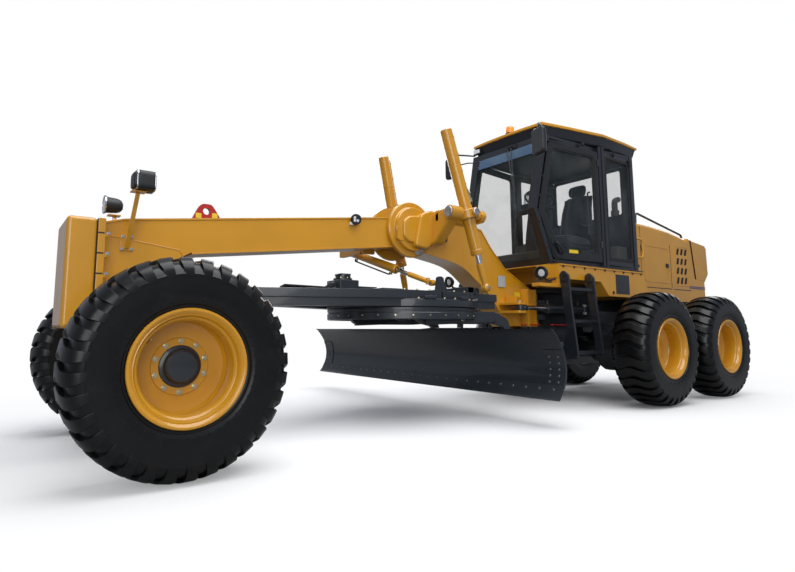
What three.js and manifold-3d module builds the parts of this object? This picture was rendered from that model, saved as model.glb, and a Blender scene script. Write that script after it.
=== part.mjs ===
// Motor grader with an articulated frame, six wheels, a drawbar with its circle and blade, and a cab.
// Millimetres, +Z up, +X forward, +Y to the machine's left. Everything is drawn from the point on the
// ground under the front axle, and at the end the whole machine is moved so that the origin is the
// middle of its bounding box, on the ground.
import * as THREE from 'three';
import { mergeVertices } from 'three/addons/utils/BufferGeometryUtils.js';
import Module from 'manifold-3d';

const wasm = await Module();
wasm.setup();

// ---- driving dimensions -------------------------------------------------------------------------
const GAP = 0.3;                    // between pieces that touch
const ROUND = 24;                   // sides of a large round piece
const SMALL_ROUND = 12;             // sides of a pin or rod

const TYRE_RADIUS = 674;
const TYRE_WIDTH = 444;
const RIM_RADIUS = 318;             // outside of the rim's barrel, where the tyre sits
const RIM_FLANGE_RADIUS = 352;
const RIM_WIDTH = 416;
const RIM_WALL = 16;

const FRONT_TRACK = 2100;
const REAR_TRACK = 2200;
const TANDEM_X = -6340;             // middle of the tandem, behind the front axle
const TANDEM_SPACING = 1520;

const NOSE_FRONT_X = 592;
const NOSE_REAR_X = 395;
const BULKHEAD_THICKNESS = 50;
const NOSE_HALF_WIDTH = 290;
const NOSE_BOTTOM = 906;
const NOSE_TOP = 1690;

const LAMP = [125, 330, 1985];
const BEAM_HALF_WIDTH = 145;
const HITCH_X = -4640;              // the vertical pin that the frame bends on
const HITCH_PIN_RADIUS = 45;
const HITCH_PLATE_X = -4500;
const HITCH_PLATE_HALF = 195;

const LEAN_PIVOT_Y = 700;
const LEAN_PIVOT_Z = 620;
const LEAN_BAR_Z = 850;
const KINGPIN_Y = 860;
const STEER_ARM = 160;

const BALL_X = 230;
const BALL_Z = 1110;
const BALL_PIN = 28;
const DRAWBAR_BOTTOM = 1107;
const DRAWBAR_TOP = 1262;
const CIRCLE_X = -2560;
const CIRCLE_RADIUS = 775;
const CIRCLE_BOTTOM = 991;
const CIRCLE_TOP = 1104;

const BLADE_X = -3133;              // the plane of the blade's upper and lower edges
const BLADE_LENGTH = 4270;
const BLADE_OFFSET_Y = -699;        // the blade stands shifted to the machine's right
const BLADE_TOP = 903;
const BLADE_BOTTOM = 262;
const BLADE_DEPTH = 150;
const BLADE_THICKNESS = 22;

const SADDLE_X = -2560;
const SADDLE_Z = 1930;
const SADDLE_RADIUS = 290;
const LIFT_YOKE = [-2960, 600, 2070];
const LIFT_EYE = [-3155, 650, 1321];
const LIFT_TOP_LENGTH = 900;        // barrel above its yoke
const LIFT_LOW_LENGTH = 430;        // barrel below its yoke
const LIFT_STROKE = 860;
const SHIFT_BASE = [-2270, -570, 1765];
const SHIFT_EYE = [-2536, 522, 1350];
const TURN_FRONT_EYE = [-3980, 400, 1145];
const TURN_REAR_EYE = [-5200, 400, 1145];
const TURN_PIN = 24;

const CAB_FLOOR_Z = 1650;
const CAB_KNEE_Z = 2300;
const CAB_TOP_Z = 3230;
const CAB_FRONT_HALF = 560;
const CAB_REAR_HALF = 700;
const CAB_WALL = 60;
const CAB_FRONT_FOOT_X = -4330;
const CAB_FRONT_KNEE_X = -4090;
const CAB_FRONT_TOP_X = -4290;
const CAB_B_PILLAR_X = -5300;
const CAB_REAR_X = -6030;
const ROOF_THICKNESS = 130;
const GLASS = 8;

const HOOD_FRONT_X = -6110;
const HOOD_REAR_X = -7760;
const TAIL_X = -8300;
const HOOD_HALF = 560;
const HOOD_BOTTOM = 1300;
const HOOD_TOP = 2360;
const HOOD_WALL = 40;

// ---- materials ----------------------------------------------------------------------------------
const finish = (color, roughness, metalness) => new THREE.MeshStandardMaterial({ color, roughness, metalness });
const PAINT = finish(0xd69623, 0.35, 0.1);
const DARK = finish(0x2b3440, 0.45, 0.2);
const RUBBER = finish(0x17181a, 0.6, 0);
const CHROME = finish(0xd8dadc, 0.12, 1);
const TINTED = finish(0x9fb4b8, 0.05, 0);
const SEAT_CLOTH = finish(0x232c3a, 0.9, 0);
const IRON = finish(0x4a4d50, 0.6, 0.5);

// ---- shapes -------------------------------------------------------------------------------------
function solid(geometry) {
  const bare = geometry.index ? geometry.toNonIndexed() : geometry.clone();
  bare.deleteAttribute('normal');
  bare.deleteAttribute('uv');
  const merged = mergeVertices(bare, 1e-4);
  return new wasm.Manifold(new wasm.Mesh({
    numProp: 3,
    vertProperties: new Float32Array(merged.attributes.position.array),
    triVerts: new Uint32Array(merged.index.array),
  }));
}

const join = (...pieces) => pieces.reduce((whole, piece) => whole.add(piece));

// a block from its low and high corners
function block([x0, y0, z0], [x1, y1, z1]) {
  const geometry = new THREE.BoxGeometry(x1 - x0, y1 - y0, z1 - z0);
  return solid(geometry.translate((x0 + x1) / 2, (y0 + y1) / 2, (z0 + z1) / 2));
}

// sides of a pin or bore, and the bore that clears the corners of a pin that turns in it
const pinSides = (radius) => (radius > 50 ? 24 : radius > 30 ? 20 : 16);
const boreFor = (radius) => radius / Math.cos(Math.PI / pinSides(radius)) + GAP;

// a round bar between two points
function bar(from, to, radius, sides = SMALL_ROUND, endRadius = radius) {
  const start = new THREE.Vector3(...from);
  const end = new THREE.Vector3(...to);
  const along = end.clone().sub(start);
  const geometry = new THREE.CylinderGeometry(endRadius, radius, along.length(), sides);
  geometry.applyQuaternion(new THREE.Quaternion().setFromUnitVectors(
    new THREE.Vector3(0, 1, 0), along.clone().normalize()));
  const middle = start.add(end).multiplyScalar(0.5);
  return solid(geometry.translate(middle.x, middle.y, middle.z));
}

const pinBar = (from, to, radius) => bar(from, to, radius, pinSides(radius));
const boreBar = (from, to, pin) => bar(from, to, boreFor(pin), pinSides(pin));

const ball = (centre, radius, sides = SMALL_ROUND) =>
  solid(new THREE.SphereGeometry(radius, sides, sides / 2).translate(...centre));

// an outline in plan, raised from one height to another
function raised(outline, z0, z1, hole = null) {
  const shape = new THREE.Shape(outline.map(([x, y]) => new THREE.Vector2(x, y)));
  if (hole) shape.holes.push(new THREE.Path(hole.map(([x, y]) => new THREE.Vector2(x, y))));
  const geometry = new THREE.ExtrudeGeometry(shape, { depth: z1 - z0, bevelEnabled: false });
  return solid(geometry.translate(0, 0, z0));
}

// an outline in side view, as [x, z] points, spread from y0 to y1
function spread(outline, y0, y1) {
  const shape = new THREE.Shape(outline.map(([x, z]) => new THREE.Vector2(x, z)));
  const geometry = new THREE.ExtrudeGeometry(shape, { depth: y1 - y0, bevelEnabled: false });
  return solid(geometry.rotateX(Math.PI / 2).translate(0, y1, 0));
}

// an outline in front view, as [y, z] points, spread from x0 to x1
function across(outline, x0, x1) {
  const shape = new THREE.Shape(outline.map(([y, z]) => new THREE.Vector2(y, z)));
  const geometry = new THREE.ExtrudeGeometry(shape, { depth: x1 - x0, bevelEnabled: false });
  geometry.rotateX(Math.PI / 2).rotateZ(Math.PI / 2);
  return solid(geometry.translate(x0, 0, 0));
}

// a profile of [distance from the axle, place along the axle] points, turned about the Y axis
function turned(profile, sides = ROUND) {
  const points = profile.map(([radius, along]) => new THREE.Vector2(radius, along));
  return solid(new THREE.LatheGeometry(points, sides));
}

const moved = (piece, x, y, z) => piece.translate([x, y, z]);
const mirrored = (piece) => piece.mirror([0, 1, 0]);

// ---- the scene graph ----------------------------------------------------------------------------
const machine = new THREE.Group();

function place(name, piece, material, group = machine) {
  const mesh = piece.getMesh();
  const geometry = new THREE.BufferGeometry();
  geometry.setAttribute('position', new THREE.BufferAttribute(mesh.vertProperties, 3));
  geometry.setIndex(new THREE.BufferAttribute(mesh.triVerts, 1));
  geometry.computeVertexNormals();
  const node = new THREE.Mesh(geometry, material);
  node.name = name;
  group.add(node);
  return node;
}

// a piece on the left with its twin on the right
function placePair(name, left, material) {
  place(`${name}_left`, left, material);
  place(`${name}_right`, mirrored(left), material);
}

// ---- wheels -------------------------------------------------------------------------------------
const SPINDLE_RADIUS = 45;
const REAR_SPINDLE_RADIUS = 60;
const HUB_CAP = 30;                 // closed end of a hub, beyond its spindle
const SPINDLE_END = 5;              // from the end of a spindle to the bottom of its bore
function tyre() {
  const half = TYRE_WIDTH / 2;
  const bead = RIM_WIDTH / 2 - 22;
  const inner = RIM_RADIUS + GAP;
  return turned([
    [inner, -bead], [RIM_FLANGE_RADIUS + 12, -bead], [RIM_FLANGE_RADIUS + 90, -half],
    [TYRE_RADIUS - 80, -half + 8], [TYRE_RADIUS - 14, -half + 52], [TYRE_RADIUS, -half + 120],
    [TYRE_RADIUS, half - 120], [TYRE_RADIUS - 14, half - 52], [TYRE_RADIUS - 80, half - 8],
    [RIM_FLANGE_RADIUS + 90, half], [RIM_FLANGE_RADIUS + 12, bead], [inner, bead], [inner, -bead],
  ]);
}

// discAt is the wheel disc's place along the axle, outward positive; hubIn and hubOut bound the hub
function rim({ discAt, hubIn, hubOut, hubRadius, spindle }) {
  const half = RIM_WIDTH / 2;
  const flange = 18;
  const inside = RIM_RADIUS - RIM_WALL;
  const barrel = turned([
    [inside, -half], [RIM_FLANGE_RADIUS, -half], [RIM_FLANGE_RADIUS, -half + flange],
    [RIM_RADIUS, -half + flange + 3], [RIM_RADIUS, half - flange - 3],
    [RIM_FLANGE_RADIUS, half - flange], [RIM_FLANGE_RADIUS, half], [inside, half], [inside, -half],
  ]);
  const disc = turned([
    [0, discAt - 22], [inside + 4, discAt - 10], [inside + 4, discAt + 14], [0, discAt + 22]]);
  const hub = turned([[0, hubIn], [hubRadius, hubIn], [hubRadius, hubOut - 12], [hubRadius - 14, hubOut],
    [0, hubOut]]);
  const hole = boreBar([0, hubIn - 5, 0], [0, hubOut - HUB_CAP, 0], spindle);
  return join(barrel, disc, hub).subtract(hole);
}

const FRONT_HUB = { discAt: -20, hubIn: -80, hubOut: 56, hubRadius: 118, spindle: SPINDLE_RADIUS };
const REAR_HUB = { discAt: -40, hubIn: -140, hubOut: 20, hubRadius: 150, spindle: REAR_SPINDLE_RADIUS };

function placeWheel(name, x, y, hub) {
  const side = Math.sign(y);
  const turnedOut = (piece) => moved(side > 0 ? piece : mirrored(piece), x, y, TYRE_RADIUS);
  place(`tyre_${name}`, turnedOut(tyre()), RUBBER);
  place(`rim_${name}`, turnedOut(rim(hub)), PAINT);
}

for (const [side, sign] of [['left', 1], ['right', -1]]) {
  placeWheel(`front_${side}`, 0, sign * FRONT_TRACK / 2, FRONT_HUB);
  placeWheel(`middle_${side}`, TANDEM_X + TANDEM_SPACING / 2, sign * REAR_TRACK / 2, REAR_HUB);
  placeWheel(`rear_${side}`, TANDEM_X - TANDEM_SPACING / 2, sign * REAR_TRACK / 2, REAR_HUB);
}

// ---- front axle ---------------------------------------------------------------------------------
const AXLE_HALF_X = 85;
const AXLE_PIN_Z = 700;
const EAR_X = 120;
const LEAN_PIN = 25;
const LEAN_BAR_PIN = 20;
const EAR_THICKNESS = 50;
const SHELF_BOTTOM = 905;
const SHELF_TOP = 960;

function frontAxle() {
  const profile = [[-720, 575], [-640, 575], [-400, 610], [400, 610], [640, 575], [720, 575],
    [720, 665], [600, 690], [300, 780], [-300, 780], [-600, 690], [-720, 665]];
  const holes = [-1, 1].map((side) => boreBar(
    [-200, side * LEAN_PIVOT_Y, LEAN_PIVOT_Z], [200, side * LEAN_PIVOT_Y, LEAN_PIVOT_Z], LEAN_PIN));
  return across(profile, -AXLE_HALF_X, AXLE_HALF_X)
    .add(bar([-EAR_X - 60, 0, AXLE_PIN_Z], [EAR_X + 60, 0, AXLE_PIN_Z], 45))
    .subtract(holes[0]).subtract(holes[1]);
}
place('front_axle', frontAxle(), DARK);

// the bracket that leans the wheel: ears round the axle's end, a web, and arms that hold the kingpin
const KINGPIN_RADIUS = 30;
function leanBracket() {
  const web = block([-130, 745, 520], [130, 800, 820]);
  const ears = [-1, 1].map((side) => {
    const near = AXLE_HALF_X + 6;
    const [x0, x1] = side > 0 ? [near, 130] : [-130, -near];
    return across([[640, 570], [760, 540], [760, 820], [735, 895], [665, 895], [655, 700]], x0, x1);
  });
  const pins = join(
    pinBar([-130, LEAN_PIVOT_Y, LEAN_PIVOT_Z], [130, LEAN_PIVOT_Y, LEAN_PIVOT_Z], LEAN_PIN),
    pinBar([-110, LEAN_PIVOT_Y, LEAN_BAR_Z], [110, LEAN_PIVOT_Y, LEAN_BAR_Z], LEAN_BAR_PIN));
  const arms = [[520, 580], [760, 820]].map(([z0, z1]) => raised(
    [[-60, 790], [60, 790], [60, 870], [35, 915], [-35, 915], [-60, 870]], z0, z1));
  const pin = pinBar([0, KINGPIN_Y, 540], [0, KINGPIN_Y, 800], KINGPIN_RADIUS);
  return join(web, ...ears, pins, ...arms, pin);
}
placePair('lean_bracket', leanBracket(), DARK);

const ARM_Z = 480;                  // underside of the steering arm, which passes below the bracket
const ARM_THICKNESS = 30;
const TIE_BALL = 20;
const TIE_Z = ARM_Z + ARM_THICKNESS + TIE_BALL + GAP;
function knuckle() {
  const hub = bar([0, KINGPIN_Y, 586], [0, KINGPIN_Y, 754], 58);
  const spindle = pinBar([0, KINGPIN_Y, TYRE_RADIUS],
    [0, FRONT_TRACK / 2 + FRONT_HUB.hubOut - HUB_CAP - SPINDLE_END, TYRE_RADIUS], SPINDLE_RADIUS);
  const collar = bar([0, KINGPIN_Y, TYRE_RADIUS], [0, FRONT_TRACK / 2 - 90, TYRE_RADIUS], 62);
  const neck = block([-112, KINGPIN_Y + 38, ARM_Z], [-72, KINGPIN_Y + 78, TYRE_RADIUS + 20]);
  const root = block([-80, KINGPIN_Y + 38, TYRE_RADIUS - 40], [0, KINGPIN_Y + 78, TYRE_RADIUS + 20]);
  const arm = raised([[-112, KINGPIN_Y + 78], [-STEER_ARM - 28, LEAN_PIVOT_Y + 5],
    [-STEER_ARM - 20, LEAN_PIVOT_Y - 10], [-STEER_ARM + 25, LEAN_PIVOT_Y - 8], [-72, KINGPIN_Y + 38],
    [-72, KINGPIN_Y + 78]], ARM_Z, ARM_Z + ARM_THICKNESS);
  const bore = boreBar([0, KINGPIN_Y, 500], [0, KINGPIN_Y, 850], KINGPIN_RADIUS);
  return join(hub, spindle, collar, neck, root, arm).subtract(bore);
}
placePair('knuckle', knuckle(), DARK);

function betweenPivots(z, x, radius, ringRadius, pinRadius) {
  const tube = bar([x, -LEAN_PIVOT_Y + 30, z], [x, LEAN_PIVOT_Y - 30, z], radius);
  const rings = [-1, 1].map((side) => bar([x - 35, side * LEAN_PIVOT_Y, z], [x + 35, side * LEAN_PIVOT_Y, z],
    ringRadius));
  const holes = [-1, 1].map((side) => boreBar([x - 60, side * LEAN_PIVOT_Y, z],
    [x + 60, side * LEAN_PIVOT_Y, z], pinRadius));
  return join(tube, ...rings).subtract(holes[0]).subtract(holes[1]);
}
place('lean_bar', betweenPivots(LEAN_BAR_Z, 0, 24, 36, LEAN_BAR_PIN), DARK);

const TIE_TUBE_END = LEAN_PIVOT_Y - 90;
const tieRod = join(
  bar([-STEER_ARM, -TIE_TUBE_END, TIE_Z], [-STEER_ARM, TIE_TUBE_END, TIE_Z], TIE_BALL - 4),
  bar([-STEER_ARM, -LEAN_PIVOT_Y, TIE_Z], [-STEER_ARM, LEAN_PIVOT_Y, TIE_Z], 9),
  ...[-1, 1].map((side) => ball([-STEER_ARM, side * LEAN_PIVOT_Y, TIE_Z], TIE_BALL)));
place('tie_rod', tieRod, DARK);

// ---- front frame --------------------------------------------------------------------------------
const BULKHEAD_X = NOSE_REAR_X - BULKHEAD_THICKNESS;
function frontFrame() {
  const bulkhead = block([BULKHEAD_X, -NOSE_HALF_WIDTH, NOSE_BOTTOM],
    [NOSE_REAR_X - GAP, NOSE_HALF_WIDTH, NOSE_TOP]);
  const beam = spread([[BULKHEAD_X + 5, 1430], [BULKHEAD_X + 5, 1690], [200, 1730], [-2356, 2049], [-2900, 2110],
    [-3300, 2110], [-3646, 2052], [-3810, 1850], [-4042, 1620], [HITCH_PLATE_X, 1386], [HITCH_PLATE_X, 929],
    [-4118, 940], [-3983, 1056], [-3787, 1286], [-3560, 1461], [-3298, 1650], [-2900, 1690],
    [-2454, 1763], [-311, 1513], [-200, 1450]], -BEAM_HALF_WIDTH, BEAM_HALF_WIDTH);
  const hitchPlate = block([HITCH_PLATE_X - 40, -HITCH_PLATE_HALF, 929],
    [HITCH_PLATE_X + 5, HITCH_PLATE_HALF, 1386]);
  const shelf = block([-EAR_X - EAR_THICKNESS, -170, SHELF_BOTTOM], [BULKHEAD_X + 5, 170, SHELF_TOP]);
  const ears = [-1, 1].map((side) => {
    const [x0, x1] = side > 0 ? [EAR_X, EAR_X + EAR_THICKNESS] : [-EAR_X - EAR_THICKNESS, -EAR_X];
    return across([[-90, 640], [90, 640], [150, SHELF_BOTTOM + 5], [-150, SHELF_BOTTOM + 5]], x0, x1);
  });
  const cheeks = [-1, 1].map((side) => {
    const [y0, y1] = side > 0 ? [172, 196] : [-196, -172];
    return spread([[BULKHEAD_X + 5, SHELF_BOTTOM], [-EAR_X - EAR_THICKNESS, SHELF_BOTTOM], [-250, 1440],
      [BULKHEAD_X + 5, 1600]], y0, y1);
  });
  const rungs = [-1, 1].map((side) => {
    const [y0, y1] = side > 0 ? [140, 190] : [-190, -140];
    return spread([[BULKHEAD_X, 1460], [-200, 1460], [-200, 1500], [BULKHEAD_X, 1560]], y0, y1);
  });
  const sills = [-1, 1].map((side) => {
    const [y0, y1] = side > 0 ? [165, 175] : [-175, -165];
    return block([-EAR_X - EAR_THICKNESS, y0, SHELF_BOTTOM + 10], [BULKHEAD_X, y1, SHELF_TOP - 10]);
  });
  const socket = block([BALL_X + 75, -90, BALL_Z - 90], [BULKHEAD_X + 5, 90, BALL_Z + 90]);
  const ballEars = [[50, 75], [-75, -50]].map(([z0, z1]) => block([BALL_X - 45, -30, BALL_Z + z0],
    [BALL_X + 80, 30, BALL_Z + z1]));
  const ballPin = pinBar([BALL_X, 0, BALL_Z - 75], [BALL_X, 0, BALL_Z + 75], BALL_PIN);
  const hitchEars = [[940, 1010], [1270, 1340]].map(([z0, z1]) => raised([
    [HITCH_PLATE_X, -150], [HITCH_PLATE_X, 150], [HITCH_X - 60, 110], [HITCH_X - 110, 50],
    [HITCH_X - 110, -50], [HITCH_X - 60, -110]], z0, z1));
  const hitchBore = boreBar([HITCH_X, 0, 800], [HITCH_X, 0, 1500], HITCH_PIN_RADIUS);
  const turnLugs = [-1, 1].flatMap((side) => [[1082, 1112], [1178, 1208]].map(([z0, z1]) => {
    const plan = [[TURN_FRONT_EYE[0] - 350, 130], [TURN_FRONT_EYE[0] - 60, TURN_FRONT_EYE[1] + 40],
      [TURN_FRONT_EYE[0] + 50, TURN_FRONT_EYE[1] + 30], [TURN_FRONT_EYE[0] + 60, TURN_FRONT_EYE[1] - 30],
      [TURN_FRONT_EYE[0] + 60, 130]];
    const piece = raised(plan, z0, z1);
    return side > 0 ? piece : mirrored(piece);
  }));
  const axleBore = bar([-300, 0, AXLE_PIN_Z], [300, 0, AXLE_PIN_Z], 45 + GAP);
  const lamps = [-1, 1].map((side) => join(
    bar([180, side * 140, 1540], [140, side * 290, 1925], 16, 8),
    block([LAMP[0] - 75, side * LAMP[1] - 85, LAMP[2] - 75], [LAMP[0] + 75, side * LAMP[1] + 85, LAMP[2] + 75])));
  const lug = spread([[-340, 1780], [-370, 1850], [-430, 1945], [-490, 1945], [-550, 1850], [-580, 1810]],
    -20, 20);
  const frame = join(bulkhead, beam, hitchPlate, shelf, ...ears, ...cheeks, ...rungs, ...sills, socket,
    ...ballEars, ballPin, ...hitchEars, ...turnLugs, ...lamps, lug);
  return frame.subtract(hitchBore).subtract(axleBore);
}
const frontFrameSolid = frontFrame();
place('front_frame', frontFrameSolid, PAINT);

place('front_weight', block([NOSE_REAR_X, -NOSE_HALF_WIDTH, NOSE_BOTTOM],
  [NOSE_FRONT_X, NOSE_HALF_WIDTH, NOSE_TOP]), PAINT);

// the saddle: a round collar on the beam, with the arms that carry the lift cylinders
const ARM_Y = 480;
const [YOKE_X, YOKE_Y, YOKE_Z] = LIFT_YOKE;
const YOKE_PIN_X = 165;             // from the yoke's middle to the inside of its bosses
const YOKE_PIN = 28;
const shiftAlong = new THREE.Vector3(...SHIFT_EYE).sub(new THREE.Vector3(...SHIFT_BASE)).normalize();
const SHIFT_AXIS = new THREE.Vector3(1, 0, 0).addScaledVector(shiftAlong, -shiftAlong.x).normalize();
const SHIFT_PIN = 22;
const shiftPinAt = (point, from, to, radius) => pinBar(
  new THREE.Vector3(...point).addScaledVector(SHIFT_AXIS, from).toArray(),
  new THREE.Vector3(...point).addScaledVector(SHIFT_AXIS, to).toArray(), radius);
// a piece cut by a neighbour that it touches, with the gap all round
const cutBy = (piece, cutter) => [[0, GAP], [0, -GAP], [GAP, 0], [-GAP, 0]].reduce(
  (rest, [dy, dz]) => rest.subtract(cutter.translate([0, dy, dz])), piece);
function saddle() {
  const disc = bar([SADDLE_X, -BEAM_HALF_WIDTH - 60, SADDLE_Z], [SADDLE_X, BEAM_HALF_WIDTH + 60, SADDLE_Z],
    SADDLE_RADIUS, ROUND);
  const side = (end) => (end > 0 ? (piece) => piece : mirrored);
  const ends = [-1, 1].map((end) => {
    const arm = spread([[-2480, 1720], [-2760, 1720], [-2900, 1960], [-2900, 2120], [-2560, 2120]],
      BEAM_HALF_WIDTH + 40, ARM_Y - 90);
    const back = block([YOKE_X - YOKE_PIN_X - 60, ARM_Y - 150, YOKE_Z - 75],
      [YOKE_X + YOKE_PIN_X + 60, ARM_Y - 80, YOKE_Z + 60]);
    const bosses = [-1, 1].map((way) => {
      const x0 = YOKE_X + way * YOKE_PIN_X;
      const x1 = x0 + way * 60;
      return across([[ARM_Y - 100, YOKE_Z - 75], [YOKE_Y, YOKE_Z - 62], [YOKE_Y + 62, YOKE_Z],
        [YOKE_Y, YOKE_Z + 62], [ARM_Y - 100, YOKE_Z + 60]], Math.min(x0, x1), Math.max(x0, x1));
    });
    const bore = boreBar([YOKE_X - 300, YOKE_Y, YOKE_Z], [YOKE_X + 300, YOKE_Y, YOKE_Z], YOKE_PIN);
    return side(end)(join(arm, back, ...bosses).subtract(bore));
  });
  const shiftLug = block([SHIFT_BASE[0] + 45, SHIFT_BASE[1] - 50, SHIFT_BASE[2] - 50],
    [SHIFT_BASE[0] + 95, -BEAM_HALF_WIDTH - 10, SHIFT_BASE[2] + 50]);
  const shiftFoot = block([-2330, -BEAM_HALF_WIDTH - 50, SHIFT_BASE[2] - 50],
    [SHIFT_BASE[0] + 95, -BEAM_HALF_WIDTH - 5, SADDLE_Z]);
  const shiftPin = shiftPinAt(SHIFT_BASE, -30, 60, SHIFT_PIN);
  return cutBy(join(disc, ...ends, shiftLug, shiftFoot, shiftPin), frontFrameSolid);
}
place('lift_saddle', saddle(), PAINT);

// ---- lift cylinders -----------------------------------------------------------------------------
const vector = (point) => new THREE.Vector3(...point);
const pointOn = (from, to, distance) => {
  const start = vector(from);
  return start.add(vector(to).sub(start).normalize().multiplyScalar(distance)).toArray();
};
const distanceOf = (from, to) => vector(from).distanceTo(vector(to));
const LIFT_BARREL = 62;
const LIFT_ROD = 32;
const TRUNNION = 20;
function liftParts() {
  const along = vector(LIFT_EYE).sub(vector(LIFT_YOKE)).normalize();
  const at = (distance) => vector(LIFT_YOKE).addScaledVector(along, distance).toArray();
  const total = distanceOf(LIFT_YOKE, LIFT_EYE);
  const outer = 118;
  const ring = bar(at(-45), at(45), outer, 16).subtract(bar(at(-60), at(60), LIFT_BARREL + 18, 16));
  const pins = [-1, 1].map((way) => pinBar([YOKE_X + way * 95, YOKE_Y, YOKE_Z],
    [YOKE_X + way * (YOKE_PIN_X + 55), YOKE_Y, YOKE_Z], YOKE_PIN));
  const collars = [-1, 1].map((way) => bar([YOKE_X + way * 95, YOKE_Y, YOKE_Z],
    [YOKE_X + way * (YOKE_PIN_X - GAP), YOKE_Y, YOKE_Z], 45));
  const trunnionBore = boreBar([YOKE_X, YOKE_Y - 200, YOKE_Z], [YOKE_X, YOKE_Y + 200, YOKE_Z], TRUNNION);
  const yoke = join(ring, ...pins, ...collars).subtract(trunnionBore);
  const tube = bar(at(-LIFT_TOP_LENGTH), at(LIFT_LOW_LENGTH), LIFT_BARREL, 16);
  const trunnions = pinBar([YOKE_X, YOKE_Y - 96, YOKE_Z], [YOKE_X, YOKE_Y + 96, YOKE_Z], TRUNNION);
  const chamber = bar(at(LIFT_LOW_LENGTH - LIFT_STROKE - 90), at(LIFT_LOW_LENGTH + 5), LIFT_ROD + GAP);
  const barrel = join(tube, trunnions).subtract(chamber);
  const eye = ball(LIFT_EYE, 46);
  const rod = join(bar(at(LIFT_LOW_LENGTH - LIFT_STROKE + 90), at(total - 30), LIFT_ROD),
    bar(at(total - 150), at(total), 40), eye);
  return { yoke, barrel, rod };
}
const lift = liftParts();
placePair('lift_yoke', lift.yoke, PAINT);
placePair('lift_barrel', lift.barrel, PAINT);
placePair('lift_rod', lift.rod, CHROME);

// ---- drawbar, circle and blade ------------------------------------------------------------------
const BEAM_TOP_X = -2020;
const LIFT_PLATE_Z = DRAWBAR_TOP + 58;
const LIFT_CLEAR = 575;             // half width of the drawbar between the lift cylinders' eyes
const DISC_TOP = 1180;
const BALL_CHEEK = 45 + GAP;        // from the middle of the fork to its cheeks
function drawbar() {
  const wide = 640;
  const left = [[-640, 95], [-950, 150], [BEAM_TOP_X, wide], [-2880, wide + 45], [-3040, LIFT_CLEAR],
    [-3400, LIFT_CLEAR]];
  const outline = [...left, ...left.map(([x, y]) => [x, -y]).reverse()];
  const opening = [[-1250, 60], [-1900, 380], [-1900, -380], [-1250, -60]];
  const frame = raised(outline, DRAWBAR_BOTTOM, DRAWBAR_TOP, opening);
  const tongue = spread([[-600, DRAWBAR_BOTTOM], [-600, DRAWBAR_TOP - 20], [BALL_X - 60, BALL_Z + 60],
    [BALL_X + 20, BALL_Z + 50], [BALL_X + 40, BALL_Z + 30], [BALL_X + 40, BALL_Z - 30],
    [BALL_X + 20, BALL_Z - 50], [BALL_X - 60, BALL_Z - 70], [-120, DRAWBAR_BOTTOM - 27],
    [-400, DRAWBAR_BOTTOM - 20], [-660, DRAWBAR_BOTTOM]], -85, 85);
  const bridge = raised([[-560, 85], [-680, 105], [-680, -105], [-560, -85]], DRAWBAR_BOTTOM,
    DRAWBAR_TOP - 20);
  const plate = bar([CIRCLE_X, 0, DRAWBAR_BOTTOM], [CIRCLE_X, 0, DISC_TOP], CIRCLE_RADIUS + 15, 36);
  const beamEnd = [[-3095, 500], [-3060, LIFT_CLEAR], [-2990, 640], [-2900, 640]];
  const liftBeam = raised([...beamEnd, ...beamEnd.map(([x, y]) => [x, -y]).reverse()], LIFT_PLATE_Z - 110,
    LIFT_PLATE_Z);
  const [sx, sy, sz] = SHIFT_EYE;
  const shiftLug = block([sx - 60, sy + 98, DRAWBAR_TOP - 10], [sx + 60, sy + 128, sz + 45]);
  // the end of the shift rod swings down into this pocket when the drawbar is swung right over
  const pocket = block([sx - 200, sy - 260, DISC_TOP], [sx, sy + 25, DRAWBAR_TOP + 60]);
  const fork = block([BALL_X - 80, -BALL_CHEEK, BALL_Z - 200], [BALL_X + 100, BALL_CHEEK, BALL_Z + 200]);
  const ballBore = boreBar([BALL_X, -120, BALL_Z], [BALL_X, 120, BALL_Z], BALL_PIN);
  return join(frame.subtract(pocket), tongue.subtract(fork).subtract(ballBore), bridge, plate, liftBeam,
    shiftLug);
}
// the cross piece of the drawbar's front joint: one pin upright through it, and a stub on either side
const crossPiece = join(
  block([BALL_X - 42, -45, BALL_Z - 50 + GAP], [BALL_X + 42, 45, BALL_Z + 50 - GAP]),
  pinBar([BALL_X, -88, BALL_Z], [BALL_X, 88, BALL_Z], BALL_PIN),
).subtract(boreBar([BALL_X, 0, BALL_Z - 100], [BALL_X, 0, BALL_Z + 100], BALL_PIN));
place('drawbar_ball', crossPiece, DARK);
const motorBase = [-1890, -90];
place('drawbar', drawbar(), DARK);

place('circle_drive', join(
  block([motorBase[0] - 110, motorBase[1] - 130, DRAWBAR_TOP + GAP],
    [motorBase[0] + 110, motorBase[1] + 130, DRAWBAR_TOP + 130]),
  bar([motorBase[0], motorBase[1], DRAWBAR_TOP + 100], [motorBase[0], motorBase[1], DRAWBAR_TOP + 190], 80)),
DARK);

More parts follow.
